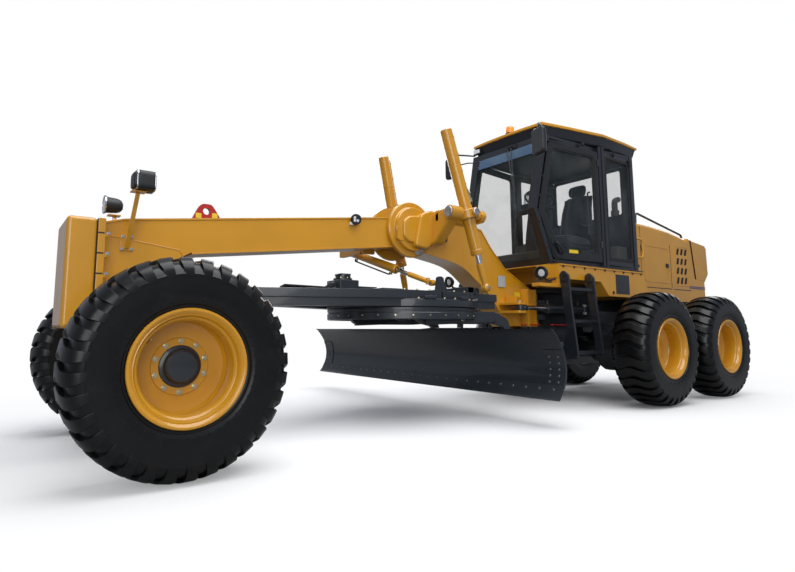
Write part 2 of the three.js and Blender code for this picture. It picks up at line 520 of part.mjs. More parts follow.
const ARM_SPAN = 560;               // the circle's two arms, either side of its middle
const TIP_PIVOT = [-3480, 620];     // x and z of the cross pin that the blade tips on
const TIP_PIN = 30;
const [TIP_X, TIP_Z] = TIP_PIVOT;
const circleOutline = (radius) => Array.from({ length: 36 }, (_, i) => {
  const angle = i * Math.PI / 18;
  return [CIRCLE_X + radius * Math.cos(angle), radius * Math.sin(angle)];
});
function circlePiece() {
  const ring = raised(circleOutline(CIRCLE_RADIUS), CIRCLE_BOTTOM, DRAWBAR_BOTTOM - GAP,
    circleOutline(CIRCLE_RADIUS - 130));
  const arms = [-1, 1].map((side) => spread([[-2250, CIRCLE_BOTTOM + 40], [-2350, 950], [-3150, 950],
    [-3335, 960], [TIP_X + 10, 930], [TIP_X - 50, 840], [TIP_X - 60, 690], [TIP_X + 25, 665],
    [TIP_X + 50, TIP_Z], [TIP_X + 20, TIP_Z - 50], [TIP_X - 30, TIP_Z - 50], [TIP_X - 120, 700],
    [TIP_X - 130, 860], [TIP_X - 60, 1010], [-3335, 1080], [-2250, 1080]],
  side * ARM_SPAN - 30, side * ARM_SPAN + 30));
  const pin = pinBar([TIP_X, -ARM_SPAN - 60, TIP_Z], [TIP_X, ARM_SPAN + 60, TIP_Z], TIP_PIN);
  return join(ring, ...arms, pin);
}
place('circle', circlePiece(), DARK);

// the carrier hangs on the circle's cross pin, and the blade slides sideways through its jaws
const RAIL_BACK = TIP_X + 90;       // back of the blade's two rails
const RAIL_HEIGHT = 40;
const UPPER_RAIL_Z = 740;
const LOWER_RAIL_Z = 460;
const SLIDE_BARREL = [-3400, 860];  // x and z of the cylinder that shifts the blade
const SLIDE_BARREL_RADIUS = 40;
const SLIDE_ROD = 20;
const SLIDE_MOUTH_Y = 560;
const SLIDE_STROKE = 1300;
function bladeCarrier() {
  const upper = UPPER_RAIL_Z + RAIL_HEIGHT + GAP;
  const lower = LOWER_RAIL_Z - GAP;
  const jaw = [[RAIL_BACK - GAP, UPPER_RAIL_Z - 30], [RAIL_BACK - GAP, upper], [RAIL_BACK + 35, upper],
    [RAIL_BACK + 35, upper + 22], [RAIL_BACK - 70, upper + 22], [TIP_X - 55, TIP_Z + 40],
    [TIP_X - 55, TIP_Z - 60], [RAIL_BACK - 80, lower - 22], [RAIL_BACK + 20, lower - 22],
    [RAIL_BACK + 20, lower], [RAIL_BACK - GAP, lower]];
  const jaws = [-1, 1].map((side) => spread(jaw, side * 440 - 45, side * 440 + 45));
  const tube = block([TIP_X - 50, -450, TIP_Z - 55], [TIP_X + 60, 450, TIP_Z + 55]);
  const cradles = [-1, 1].map((side) => spread([[RAIL_BACK - 60, upper], [RAIL_BACK + 20, upper],
    [SLIDE_BARREL[0] + 20, SLIDE_BARREL[1] - 28], [SLIDE_BARREL[0] - 20, SLIDE_BARREL[1] - 28]],
  side * 440 - 20, side * 440 + 20));
  const barrel = bar([SLIDE_BARREL[0], SLIDE_MOUTH_Y - SLIDE_STROKE - 60, SLIDE_BARREL[1]],
    [SLIDE_BARREL[0], SLIDE_MOUTH_Y, SLIDE_BARREL[1]], SLIDE_BARREL_RADIUS);
  const bore = bar([SLIDE_BARREL[0], SLIDE_MOUTH_Y - SLIDE_STROKE - 30, SLIDE_BARREL[1]],
    [SLIDE_BARREL[0], SLIDE_MOUTH_Y + 10, SLIDE_BARREL[1]], SLIDE_ROD + GAP);
  const pinBore = boreBar([TIP_X, -600, TIP_Z], [TIP_X, 600, TIP_Z], TIP_PIN);
  return join(...jaws, tube, ...cradles, barrel).subtract(bore).subtract(pinBore);
}
place('blade_carrier', bladeCarrier(), DARK);

function bladeFace(setBack) {
  const steps = 10;
  const tilt = 80;
  return Array.from({ length: steps + 1 }, (_, i) => {
    const t = i / steps;
    return [BLADE_X - BLADE_DEPTH * Math.sin(Math.PI * t) ** 0.8 - tilt * t - setBack,
      BLADE_TOP + (BLADE_BOTTOM - BLADE_TOP) * t];
  });
}
function mouldboard() {
  const y0 = BLADE_OFFSET_Y - BLADE_LENGTH / 2;
  const y1 = BLADE_OFFSET_Y + BLADE_LENGTH / 2;
  const plate = spread([...bladeFace(0), ...bladeFace(BLADE_THICKNESS).reverse()], y0, y1);
  const rails = [UPPER_RAIL_Z, LOWER_RAIL_Z].map((z) => block(
    [RAIL_BACK, y0 + 60, z], [BLADE_X - BLADE_DEPTH, y1 - 60, z + RAIL_HEIGHT]));
  const eyeY = SLIDE_MOUTH_Y + 90;
  const rodSolid = bar([SLIDE_BARREL[0], eyeY, SLIDE_BARREL[1]],
    [SLIDE_BARREL[0], SLIDE_MOUTH_Y - SLIDE_STROKE - 10, SLIDE_BARREL[1]], SLIDE_ROD);
  const bracket = block([SLIDE_BARREL[0] - 30, eyeY - 15, SLIDE_BARREL[1] - 30],
    [BLADE_X - 60, eyeY + 25, SLIDE_BARREL[1] + 30]);
  const front = spread([...bladeFace(BLADE_THICKNESS / 2), [BLADE_X + 400, BLADE_BOTTOM],
    [BLADE_X + 400, BLADE_TOP]].reverse(), y0 - 10, y1 + 10);
  return join(...rails, rodSolid, bracket).subtract(front).add(plate);
}
place('mouldboard', mouldboard(), DARK);

// ---- plain cylinders: a barrel on one pin and a rod on another ----------------------------------
function cylinder(base, eye, axis, { radius, rodRadius, length, stroke, eyeRadius, rodEye, pin }) {
  const total = distanceOf(base, eye);
  const at = (distance) => pointOn(base, eye, distance);
  const crossBar = (point, half, width) => bar(
    vector(point).addScaledVector(axis, -half).toArray(), vector(point).addScaledVector(axis, half).toArray(), width);
  const boreOn = (point) => boreBar(
    vector(point).addScaledVector(axis, -60).toArray(), vector(point).addScaledVector(axis, 60).toArray(), pin);
  const barrel = join(bar(at(eyeRadius * 0.6), at(eyeRadius + 20), 26), bar(at(eyeRadius + 12), at(length), radius, 16),
    crossBar(base, 28, eyeRadius)).subtract(bar(at(length - 2 * stroke - 30), at(length + 5), rodRadius + GAP))
    .subtract(boreOn(base));
  const rod = join(bar(at(length - stroke - 15), at(total - 10), rodRadius), crossBar(eye, 28, rodEye));
  return { barrel, rod };
}
const shift = cylinder(SHIFT_BASE, SHIFT_EYE, SHIFT_AXIS,
  { radius: 45, rodRadius: 22, length: 730, stroke: 300, eyeRadius: 50, rodEye: 30, pin: SHIFT_PIN });
place('shift_barrel', shift.barrel, PAINT);
place('shift_rod', shift.rod, CHROME);

const turning = cylinder(TURN_REAR_EYE, TURN_FRONT_EYE, new THREE.Vector3(0, 0, 1),
  { radius: 55, rodRadius: 27, length: 760, stroke: 190, eyeRadius: 52, rodEye: 44, pin: TURN_PIN });
placePair('turn_barrel', turning.barrel, DARK);
placePair('turn_rod', turning.rod, CHROME);

// ---- rear frame and tandem ----------------------------------------------------------------------
const SPINE_FRONT_X = -4780;
const CROSS_X = [-5350, -5262];
const RAIL_IN = 300;
const RAIL_OUT = 400;
const PLATFORM_Z = 1470;
const AXLE_TUBE = 180;
const CASE_RADIUS = 295;
const CASE_IN = 480;
const CASE_OUT = 700;
function rearFrame() {
  const spine = block([CROSS_X[0], -150, 930], [SPINE_FRONT_X, 150, 1340]);
  const ears = [[1018, 1088], [1192, 1262]].map(([z0, z1]) => raised([[SPINE_FRONT_X - 10, -140],
    [HITCH_X + 45, -80], [HITCH_X + 85, -35], [HITCH_X + 85, 35], [HITCH_X + 45, 80],
    [SPINE_FRONT_X - 10, 140]], z0, z1));
  const pin = pinBar([HITCH_X, 0, 905], [HITCH_X, 0, 1375], HITCH_PIN_RADIUS);
  const belly = block([-5230, -260, 520], [SPINE_FRONT_X - 30, 260, 935]);
  const cross = block([CROSS_X[0], -480, 930], [CROSS_X[1], 480, PLATFORM_Z - GAP]);
  const lugs = [-1, 1].flatMap((side) => [[1082, 1112], [1178, 1208]].map(([z0, z1]) => {
    const y = TURN_REAR_EYE[1];
    const piece = raised([[CROSS_X[1] - 5, y - 60], [TURN_REAR_EYE[0] + 20, y - 55],
      [TURN_REAR_EYE[0] + 50, y - 20], [TURN_REAR_EYE[0] + 50, y + 20], [TURN_REAR_EYE[0] + 20, y + 55],
      [CROSS_X[1] - 5, y + 60]], z0, z1);
    return side > 0 ? piece : mirrored(piece);
  }));
  const pins = [-1, 1].map((side) => pinBar([TURN_REAR_EYE[0], side * TURN_REAR_EYE[1], 1090],
    [TURN_REAR_EYE[0], side * TURN_REAR_EYE[1], 1200], TURN_PIN));
  const rails = [-1, 1].map((side) => block(
    [-8150, side > 0 ? RAIL_IN : -RAIL_OUT, 930], [CROSS_X[0] + 5, side > 0 ? RAIL_OUT : -RAIL_IN, 1130]));
  const pads = [-1, 1].map((side) => block([TANDEM_X - 130, side > 0 ? RAIL_IN : -RAIL_OUT, TYRE_RADIUS],
    [TANDEM_X + 130, side > 0 ? RAIL_OUT : -RAIL_IN, 935]));
  const bumper = block([-8200, -500, 930], [-8100, 500, HOOD_BOTTOM - GAP]);
  const ties = [-5900, -7400].map((x) => block([x - 40, -RAIL_IN - 10, 960], [x + 40, RAIL_IN + 10, 1100]));
  const outriggers = [[-6260, -6180], [-7700, -7640], [-7990, -7900]].map(([x0, x1]) => block(
    [x0, -HOOD_HALF + 45, 1060], [x1, HOOD_HALF - 45, HOOD_BOTTOM - GAP]));
  const axleRoom = bar([TANDEM_X, -600, TYRE_RADIUS], [TANDEM_X, 600, TYRE_RADIUS], AXLE_TUBE + GAP, ROUND);
  return join(spine, ...ears, pin, belly, cross, ...lugs, ...pins, ...rails, ...pads, bumper, ...ties, ...outriggers)
    .subtract(axleRoom);
}
place('rear_frame', rearFrame(), DARK);

function tandem() {
  const half = TANDEM_SPACING / 2;
  const outline = [];
  for (let i = 0; i <= 10; i += 1) {
    const angle = -Math.PI / 2 + Math.PI * i / 10;
    outline.push([TANDEM_X + half + CASE_RADIUS * Math.cos(angle), TYRE_RADIUS + CASE_RADIUS * Math.sin(angle)]);
  }
  for (let i = 0; i <= 10; i += 1) {
    const angle = Math.PI / 2 + Math.PI * i / 10;
    outline.push([TANDEM_X - half + CASE_RADIUS * Math.cos(angle), TYRE_RADIUS + CASE_RADIUS * Math.sin(angle)]);
  }
  const cases = [-1, 1].map((side) => {
    const piece = spread(outline, CASE_IN, CASE_OUT);
    return side > 0 ? piece : mirrored(piece);
  });
  const tube = bar([TANDEM_X, -CASE_IN - 10, TYRE_RADIUS], [TANDEM_X, CASE_IN + 10, TYRE_RADIUS], AXLE_TUBE, ROUND);
  const gearbox = bar([TANDEM_X, -150, TYRE_RADIUS], [TANDEM_X, 150, TYRE_RADIUS], 240, ROUND);
  const spindles = [-1, 1].flatMap((side) => [-half, half].map((offset) => pinBar(
    [TANDEM_X + offset, side * (CASE_OUT - 20), TYRE_RADIUS],
    [TANDEM_X + offset, side * (REAR_TRACK / 2 + REAR_HUB.hubOut - HUB_CAP - SPINDLE_END), TYRE_RADIUS],
    REAR_SPINDLE_RADIUS)));
  return join(...cases, tube, gearbox, ...spindles);
}
place('tandem_axle', tandem(), DARK);

place('engine', block([-7600, -RAIL_IN + 30, 1120], [-6500, RAIL_IN - 30, 2000]).add(
  block([-7500, -RAIL_IN - 60, 1120], [-7300, RAIL_IN + 60, 1200])).add(
  block([-6800, -RAIL_IN - 60, 1120], [-6600, RAIL_IN + 60, 1200])).subtract(
  block([-9000, -900, 1100], [-5000, 900, 1130 + GAP])), IRON);

// ---- cab ----------------------------------------------------------------------------------------
const PLATFORM_HALF = 740;
const LADDER_X = [-4740, -4260];
function cabPlatform() {
  const outline = [[-4250, 440], [-4250, PLATFORM_HALF], [-6080, PLATFORM_HALF], [-6080, -PLATFORM_HALF],
    [-4250, -PLATFORM_HALF], [-4250, -440], [-4780, -440], [-4780, 440]];
  const deck = raised(outline, PLATFORM_Z, CAB_FLOOR_Z - GAP);
  const boxes = [-1, 1].map((side) => {
    const piece = spread([[-5090, PLATFORM_Z + 5], [-5230, HOOD_BOTTOM], [-6080, HOOD_BOTTOM],
      [-6080, PLATFORM_Z + 5]], 500, PLATFORM_HALF);
    return side > 0 ? piece : mirrored(piece);
  });
  const ladders = [-1, 1].map((side) => {
    const stringer = [[PLATFORM_HALF - 10, PLATFORM_Z + 60], [PLATFORM_HALF + 60, PLATFORM_Z + 60],
      [PLATFORM_HALF + 130, 1200], [PLATFORM_HALF + 200, 600], [PLATFORM_HALF + 110, 600],
      [PLATFORM_HALF + 40, 1200], [PLATFORM_HALF - 10, PLATFORM_Z]];
    const sides = LADDER_X.map((x) => across(stringer, x - 12, x + 12));
    const steps = [[1330, 55], [970, 95], [625, 130]].map(([z, out]) => block(
      [LADDER_X[0], PLATFORM_HALF + out - 40, z - 15], [LADDER_X[1], PLATFORM_HALF + out + 60, z + 15]));
    const piece = join(...sides, ...steps);
    return side > 0 ? piece : mirrored(piece);
  });
  return join(deck, ...boxes, ...ladders);
}
place('cab_platform', cabPlatform(), PAINT);

const cabSide = (inset, base) => [[CAB_FRONT_FOOT_X - inset, base], [CAB_FRONT_KNEE_X - inset, CAB_KNEE_Z],
  [CAB_FRONT_TOP_X - inset, CAB_TOP_Z], [CAB_REAR_X + inset, CAB_TOP_Z], [CAB_REAR_X + inset, base]];
function cabPlan(inset) {
  const left = [[-4000, CAB_FRONT_HALF - 20 - inset], [CAB_B_PILLAR_X, CAB_REAR_HALF - inset],
    [-6200, CAB_REAR_HALF - inset]];
  return [...left, ...left.map(([x, y]) => [x, -y]).reverse()];
}
const cabBody = (inset, z0, z1) => spread(cabSide(inset, z0), -900, 900)
  .intersect(raised(cabPlan(inset), z0, z1));
const DOOR = [[-4395, 1715], [-4165, 2300], [-4365, 3150], [CAB_B_PILLAR_X + 70, 3150],
  [CAB_B_PILLAR_X + 70, 1715]];
const QUARTER = [[CAB_B_PILLAR_X - 60, 1760], [CAB_B_PILLAR_X - 60, 3130], [CAB_REAR_X + 90, 3130],
  [CAB_REAR_X + 90, 1760]];
const SHIELD_HALF = 470;
const REAR_WINDOW = [[-560, 2420], [560, 2420], [560, 3120], [-560, 3120]];
// an outline drawn in by the same amount all round, towards its middle
function drawnIn(outline, amount) {
  const middle = outline.reduce(([sx, sz], [x, z]) => [sx + x / outline.length, sz + z / outline.length], [0, 0]);
  return outline.map(([x, z]) => [x - Math.sign(x - middle[0]) * amount, z - Math.sign(z - middle[1]) * amount]);
}
// a sheet that follows the cab's side, from one depth below the surface to another
function sideSheet(outline, outer, inner) {
  const skin = raised(cabPlan(outer), 1600, 3300).subtract(raised(cabPlan(inner), 1500, 3400));
  return skin.intersect(spread(outline, 300, 900));
}
function frontSheet(outer, inner, half, z0, z1) {
  const at = (inset) => [[CAB_FRONT_FOOT_X - inset, CAB_FLOOR_Z], [CAB_FRONT_KNEE_X - inset, CAB_KNEE_Z],
    [CAB_FRONT_TOP_X - inset, CAB_TOP_Z]];
  return spread([...at(outer), ...at(inner).reverse()], -half, half).intersect(
    block([-5000, -900, z0], [-3900, 900, z1]));
}
function mirror(x, y, z, from) {
  return join(block([x - 30, y - 95, z - 170], [x + 30, y + 95, z + 170]),
    bar(from, [x, y, z + 150], 14, 8));
}
function cabShell() {
  const hollow = spread([...cabSide(CAB_WALL, CAB_FLOOR_Z + 50)], -900, 900)
    .intersect(raised(cabPlan(CAB_WALL), CAB_FLOOR_Z + 50, 3500));
  const lid = block([-6300, -900, CAB_TOP_Z - 40], [-3900, 900, CAB_TOP_Z]);
  const shell = cabBody(0, CAB_FLOOR_Z, CAB_TOP_Z).subtract(hollow);
  const doors = [spread(DOOR, 400, 900), spread(DOOR, -900, -400)];
  const quarters = [spread(QUARTER, 500, 900), spread(QUARTER, -900, -500)];
  const front = block([-4700, -SHIELD_HALF, 1730], [-3900, SHIELD_HALF, 3140]);
  const back = across(REAR_WINDOW, CAB_REAR_X - 100, CAB_REAR_X + 200);
  const whole = [...doors, ...quarters, front, back].reduce((rest, cut) => rest.subtract(cut), shell);
  return join(whole, mirror(-4080, 730, 2980, [-4330, 540, 3190]), mirror(-4120, -900, 2960, [-4330, -540, 3190]));
}
place('cab_shell', cabShell(), DARK);

const EDGE = 6;
const DOOR_FRAME = 70;
const leftDoor = sideSheet(drawnIn(DOOR, EDGE), 4, 44).subtract(
  sideSheet(drawnIn(DOOR, EDGE + DOOR_FRAME), -50, 100));
const HINGE_RADIUS = 12;
const DOOR_HINGE_X = CAB_B_PILLAR_X + 70 + HINGE_RADIUS + GAP;
const hinges = [1900, 2950].map((z) => bar([DOOR_HINGE_X, CAB_REAR_HALF - 10, z],
  [DOOR_HINGE_X, CAB_REAR_HALF - 10, z + 90], HINGE_RADIUS));
placePair('cab_door', join(leftDoor, ...hinges), DARK);
placePair('door_glass', sideSheet(drawnIn(DOOR, EDGE + DOOR_FRAME + GAP), 18, 18 + GLASS), TINTED);
placePair('quarter_window', sideSheet(drawnIn(QUARTER, GAP), 18, 18 + GLASS), TINTED);
place('windshield', frontSheet(18, 18 + GLASS, SHIELD_HALF - GAP, 1730 + GAP, 3140 - GAP), TINTED);
place('rear_window', across(drawnIn(REAR_WINDOW, GAP), CAB_REAR_X + 20, CAB_REAR_X + 20 + GLASS), TINTED);

const roofOutline = [[-4270, 0], [-4290, 560], [CAB_B_PILLAR_X, 740], [-6160, 700], [-6160, -700],
  [CAB_B_PILLAR_X, -740], [-4290, -560]];
place('cab_roof', raised(roofOutline, CAB_TOP_Z + GAP, CAB_TOP_Z + ROOF_THICKNESS)
  .add(raised(roofOutline.map(([x, y]) => [x * 0.985 - 78, y * 0.93]), CAB_TOP_Z + ROOF_THICKNESS - 5,
    CAB_TOP_Z + ROOF_THICKNESS + 45)), PAINT);

const SEAT_X = -5450;
const FLOOR_TOP = CAB_FLOOR_Z + 50 + GAP;
place('operator_seat', join(
  block([SEAT_X - 180, -180, FLOOR_TOP], [SEAT_X + 180, 180, FLOOR_TOP + 330]),
  block([SEAT_X - 260, -260, FLOOR_TOP + 320], [SEAT_X + 270, 260, FLOOR_TOP + 460]),
  spread([[SEAT_X - 170, FLOOR_TOP + 450], [SEAT_X - 330, FLOOR_TOP + 440], [SEAT_X - 420, FLOOR_TOP + 1080],
    [SEAT_X - 290, FLOOR_TOP + 1090]], -240, 240)), SEAT_CLOTH);
place('control_console', join(
  block([-4860, -160, FLOOR_TOP], [-4700, 160, FLOOR_TOP + 120]),
  spread([[-4830, FLOOR_TOP + 110], [-4730, FLOOR_TOP + 110], [-4790, FLOOR_TOP + 780],
    [-4880, FLOOR_TOP + 760]], -90, 90),
  block([-4900, -230, FLOOR_TOP + 740], [-4740, 230, FLOOR_TOP + 800])), DARK);

// ---- engine hood --------------------------------------------------------------------------------
const HOOD_DOOR = [[-7180, 1490], [-7180, 2140], [-6380, 2140], [-6380, 1490]];
function hoodSection(inset, shoulder) {
  const half = HOOD_HALF - inset;
  const top = HOOD_TOP - inset;
  return [[-half, HOOD_BOTTOM], [half, HOOD_BOTTOM], [half, top - shoulder], [half - 70, top - shoulder / 4],
    [half - 170, top], [-half + 170, top], [-half + 70, top - shoulder / 4], [-half, top - shoulder]];
}
function engineHood() {
  const body = across(hoodSection(0, 160), HOOD_REAR_X, HOOD_FRONT_X);
  const tail = spread([[HOOD_REAR_X + 5, 1640], [HOOD_REAR_X + 5, HOOD_TOP - 70], [TAIL_X + 130, HOOD_TOP - 190],
    [TAIL_X, HOOD_TOP - 420], [TAIL_X, 1760], [TAIL_X + 90, 1640]], -HOOD_HALF, HOOD_HALF);
  const lower = block([-8000, -HOOD_HALF + 40, HOOD_BOTTOM], [HOOD_REAR_X + 5, HOOD_HALF - 40, 1645]);
  const hollow = across(hoodSection(HOOD_WALL, 160), HOOD_REAR_X + HOOD_WALL, HOOD_FRONT_X - HOOD_WALL)
    .add(block([HOOD_REAR_X + HOOD_WALL, -HOOD_HALF + HOOD_WALL, HOOD_BOTTOM - 20],
      [HOOD_FRONT_X - HOOD_WALL, HOOD_HALF - HOOD_WALL, HOOD_BOTTOM + 20]));
  const doorways = [spread(HOOD_DOOR, 400, 700), spread(HOOD_DOOR, -700, -400)];
  return join(body, tail, lower).subtract(hollow).subtract(doorways[0]).subtract(doorways[1]);
}
place('engine_hood', engineHood(), PAINT);
const HOOD_HINGE_X = HOOD_DOOR[2][0] - HINGE_RADIUS - GAP;
const hoodHinges = [1560, 1980].map((z) => bar([HOOD_HINGE_X, HOOD_HALF - 10, z],
  [HOOD_HINGE_X, HOOD_HALF - 10, z + 90], HINGE_RADIUS));
const hoodDoor = spread(drawnIn(HOOD_DOOR, EDGE), HOOD_HALF - HOOD_WALL + 2, HOOD_HALF);
placePair('hood_door', join(hoodDoor, ...hoodHinges), PAINT);

// ---- the origin: under the middle of the whole machine ------------------------------------------
const span = new THREE.Box3().setFromObject(machine);
machine.position.set(-(span.min.x + span.max.x) / 2, -(span.min.y + span.max.y) / 2, -span.min.z);
machine.updateMatrixWorld(true);
machine.name = 'motor_grader';
export default machine;
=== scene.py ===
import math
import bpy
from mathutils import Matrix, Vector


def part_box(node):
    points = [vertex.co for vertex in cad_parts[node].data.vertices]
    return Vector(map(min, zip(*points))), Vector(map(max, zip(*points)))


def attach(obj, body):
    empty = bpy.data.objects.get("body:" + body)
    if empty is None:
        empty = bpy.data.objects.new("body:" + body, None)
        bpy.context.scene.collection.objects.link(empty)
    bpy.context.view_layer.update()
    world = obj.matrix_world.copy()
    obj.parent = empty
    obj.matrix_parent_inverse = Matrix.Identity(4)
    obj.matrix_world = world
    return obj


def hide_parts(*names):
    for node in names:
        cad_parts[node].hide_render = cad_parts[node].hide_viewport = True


bl_info = {
    "name": "Motor Grader Visual Model",
    "version": (1, 0, 0),
    "blender": (4, 5, 0),
    "location": "View3D > Sidebar > Grader",
    "description": "Detailed pieces and finishes of a motor grader round its jointed frame",
    "category": "Add Mesh",
}

import bmesh
import bpy
from mathutils import Matrix, Vector

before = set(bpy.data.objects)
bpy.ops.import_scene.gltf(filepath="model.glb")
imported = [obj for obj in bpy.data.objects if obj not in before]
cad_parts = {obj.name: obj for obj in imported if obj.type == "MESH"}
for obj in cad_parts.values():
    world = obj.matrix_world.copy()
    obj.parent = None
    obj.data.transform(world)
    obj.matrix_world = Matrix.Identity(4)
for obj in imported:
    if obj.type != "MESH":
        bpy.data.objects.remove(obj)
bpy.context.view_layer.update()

# Pieces are drawn in millimetres from the point on the ground under the front axle: x forward, y to the
# machine's left, z up. DRAWN moves them to the frame, in metres.
MILLIMETRE = 0.001
AXLE_LOW, AXLE_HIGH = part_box("front_axle")
START = ((AXLE_LOW.x + AXLE_HIGH.x) / 2, (AXLE_LOW.y + AXLE_HIGH.y) / 2, 0)
DRAWN = Matrix.Translation(START) @ Matrix.Scale(MILLIMETRE, 4)
MIRRORED = Matrix.Scale(-1, 4, (0, 1, 0))
SIDES = (("left", 1), ("right", -1))
AXES = {"X": Vector((1, 0, 0)), "Y": Vector((0, 1, 0)), "Z": Vector((0, 0, 1))}
# a point of an outline, and its depth, as x, y and z: [y, z] along X, [x, z] along Y and [x, y] along Z
PLACED = {"X": lambda a, b, d: (d, a, b), "Y": lambda a, b, d: (a, d, b), "Z": lambda a, b, d: (a, b, d)}
SHARP_ANGLE = math.radians(32)      # an edge that bends more than this stays crisp in the shading
BEVEL_ANGLE = math.radians(25)      # an edge that bends more than this gets its bevel
ROUND_BEVEL_ANGLE = math.radians(50)  # the same on a round bar, whose sides stay as they are

# bodies that most pieces ride on, and heights and places that several pieces share
FRONT, REAR = "front_frame", "rear_frame"
WHEEL_RADIUS = 674
RING_X = -2560          # the circle's axis
DECK_TOP = 1262         # the drawbar's upper face
HITCH_X = -4640         # the articulation's axis
CAB_FLOOR = 1700
BLADE_SHIFT = -699      # the parked blade's middle
BLADE_HALF = 2135


# ---- shader arithmetic ---------------------------------------------------------------------------
class Wire:
    """A socket of a material's tree, or a number, that can be added, multiplied and compared."""

    def __init__(self, surface, socket):
        self.surface = surface
        self.socket = socket

    def _math(self, operation, *values):
        return self.surface.node("ShaderNodeMath", {"operation": operation}, dict(enumerate(values)))

    def __add__(self, other):
        return self._math("ADD", self, other)

    __radd__ = __add__

    def __sub__(self, other):
        return self._math("SUBTRACT", self, other)

    def __rsub__(self, other):
        return self._math("SUBTRACT", other, self)

    def __mul__(self, other):
        return self._math("MULTIPLY", self, other)

    __rmul__ = __mul__

    def __truediv__(self, other):
        return self._math("DIVIDE", self, other)

    def __pow__(self, other):
        return self._math("POWER", self, other)

    def __gt__(self, other):
        return self._math("GREATER_THAN", self, other)

    def __lt__(self, other):
        return self._math("LESS_THAN", self, other)

    def fraction(self):
        return self._math("FRACT", self)

    def size(self):
        return self._math("ABSOLUTE", self)

    def smooth(self, low, high):
        settings = {"interpolation_type": "SMOOTHSTEP"}
        return self.surface.node("ShaderNodeMapRange", settings,
                                 {"Value": self, "From Min": low, "From Max": high})


class Surface:
    """A material whose nodes are made one at a time, ending in one Principled shader."""

    def __init__(self, name, **fixed):
        self.material = bpy.data.materials.new(name)
        self.material.use_nodes = True
        self.tree = self.material.node_tree
        self.tree.nodes.clear()
        self.output = self.tree.nodes.new("ShaderNodeOutputMaterial")
        self.shader = self.tree.nodes.new("ShaderNodeBsdfPrincipled")
        self.tree.links.new(self.shader.outputs["BSDF"], self.output.inputs["Surface"])
        for socket, value in fixed.items():
            self.shader.inputs[socket.replace("_", " ")].default_value = value

    def node(self, kind, settings, inputs, output=0):
        made = self.tree.nodes.new(kind)
        for name, value in settings.items():
            if name == "stops":
                ramp = made.color_ramp
                for index, (place, colour) in enumerate(value):
                    stop = ramp.elements[index] if index < 2 else ramp.elements.new(place)
                    stop.position, stop.color = place, colour
            else:
                setattr(made, name, value)
        for name, value in inputs.items():
            socket = made.inputs[name]
            if isinstance(value, Wire):
                self.tree.links.new(value.socket, socket)
            else:
                socket.default_value = value
        return Wire(self, made.outputs[output])

    def feed(self, socket, wire):
        self.tree.links.new(wire.socket, self.shader.inputs[socket])

    def place(self, scale=(1, 1, 1), turn=(0, 0, 0)):
        coordinates = self.node("ShaderNodeTexCoord", {}, {}, "Object")
        return self.node("ShaderNodeMapping", {}, {"Vector": coordinates, "Scale": scale, "Rotation": turn})

    def noise(self, scale, detail=3.0, roughness=0.55, where=None):
        return self.node("ShaderNodeTexNoise", {}, {"Vector": where or self.place(), "Scale": scale,
                                                    "Detail": detail, "Roughness": roughness}, "Fac")

    def mix(self, share, first, second):
        """Two colours mixed by a share of the second."""
        made = self.tree.nodes.new("ShaderNodeMix")
        made.data_type = "RGBA"
        for index, value in ((0, share), (6, first), (7, second)):
            if isinstance(value, Wire):
                self.tree.links.new(value.socket, made.inputs[index])
            else:
                made.inputs[index].default_value = value
        return Wire(self, made.outputs[2])

    def axis(self, index, where=None):
        return self.node("ShaderNodeSeparateXYZ", {}, {"Vector": where or self.place()}, index)

    def bump(self, height, strength, distance):
        self.feed("Normal", self.node("ShaderNodeBump", {}, {"Height": height, "Strength": strength,
                                                            "Distance": distance}))


def opaque(colour):
    return (*tuple(colour)[:3], 1.0)


def painted(name, colour, roughness, coat, dust_colour, dust_share, peel=0.0004):
    """Sprayed paint: faint orange peel, a little colour drift, and dust that has settled on level faces."""
    surface = Surface(name, Coat_Weight=coat, Coat_Roughness=0.08, Specular_IOR_Level=0.5)
    drift = surface.noise(1.7, 2.0)
    base = surface.mix(drift.smooth(0.35, 0.7), opaque(colour), opaque([part * 0.9 for part in colour]))
    facing = surface.node("ShaderNodeNewGeometry", {}, {}, "Normal")
    level = surface.axis(2, facing).smooth(0.55, 1.0)
    streaks = surface.noise(9.0, 6.0, 0.65)
    dust = level * streaks.smooth(0.3, 0.75) * dust_share
    surface.feed("Base Color", surface.mix(dust, base, opaque(dust_colour)))
    surface.feed("Roughness", roughness + streaks.smooth(0.3, 0.8) * 0.07 + dust * 0.3)
    surface.bump(surface.noise(420.0, 2.0) + surface.noise(30.0, 1.0) * 2.5, 0.22, peel)
    return surface.material


def rubber(name, colour):
    """Tyre rubber: glossy when new, with fine pores and grey scuffs on what meets the ground."""
    surface = Surface(name, Coat_Weight=0.3, Coat_Roughness=0.2, Specular_IOR_Level=0.22)
    scuffs = surface.noise(6.0, 7.0, 0.7).smooth(0.5, 0.8)
    specks = surface.noise(160.0, 2.0).smooth(0.68, 0.78)
    worn = surface.mix(scuffs * 0.3, opaque(colour), (0.014, 0.0145, 0.016, 1.0))
    surface.feed("Base Color", surface.mix(specks * 0.25, worn, (0.05, 0.049, 0.047, 1.0)))
    surface.feed("Roughness", 0.33 + scuffs * 0.2 + surface.noise(40.0) * 0.08)
    surface.bump(surface.noise(260.0, 3.0) + surface.noise(22.0, 2.0) * 1.6, 0.3, 0.0012)
    return surface.material


def plated(name, colour, roughness, grain=500.0):
    """Polished or plated metal with fine turning marks."""
    surface = Surface(name, Metallic=1.0)
    smears = surface.noise(14.0, 4.0)
    surface.feed("Base Color", surface.mix(smears.smooth(0.4, 0.8), opaque(colour),
                                           opaque([c * 0.82 for c in colour])))
    surface.feed("Roughness", roughness + smears * 0.08)
    surface.bump(surface.noise(grain, 2.0), 0.12, 0.0003)
    return surface.material


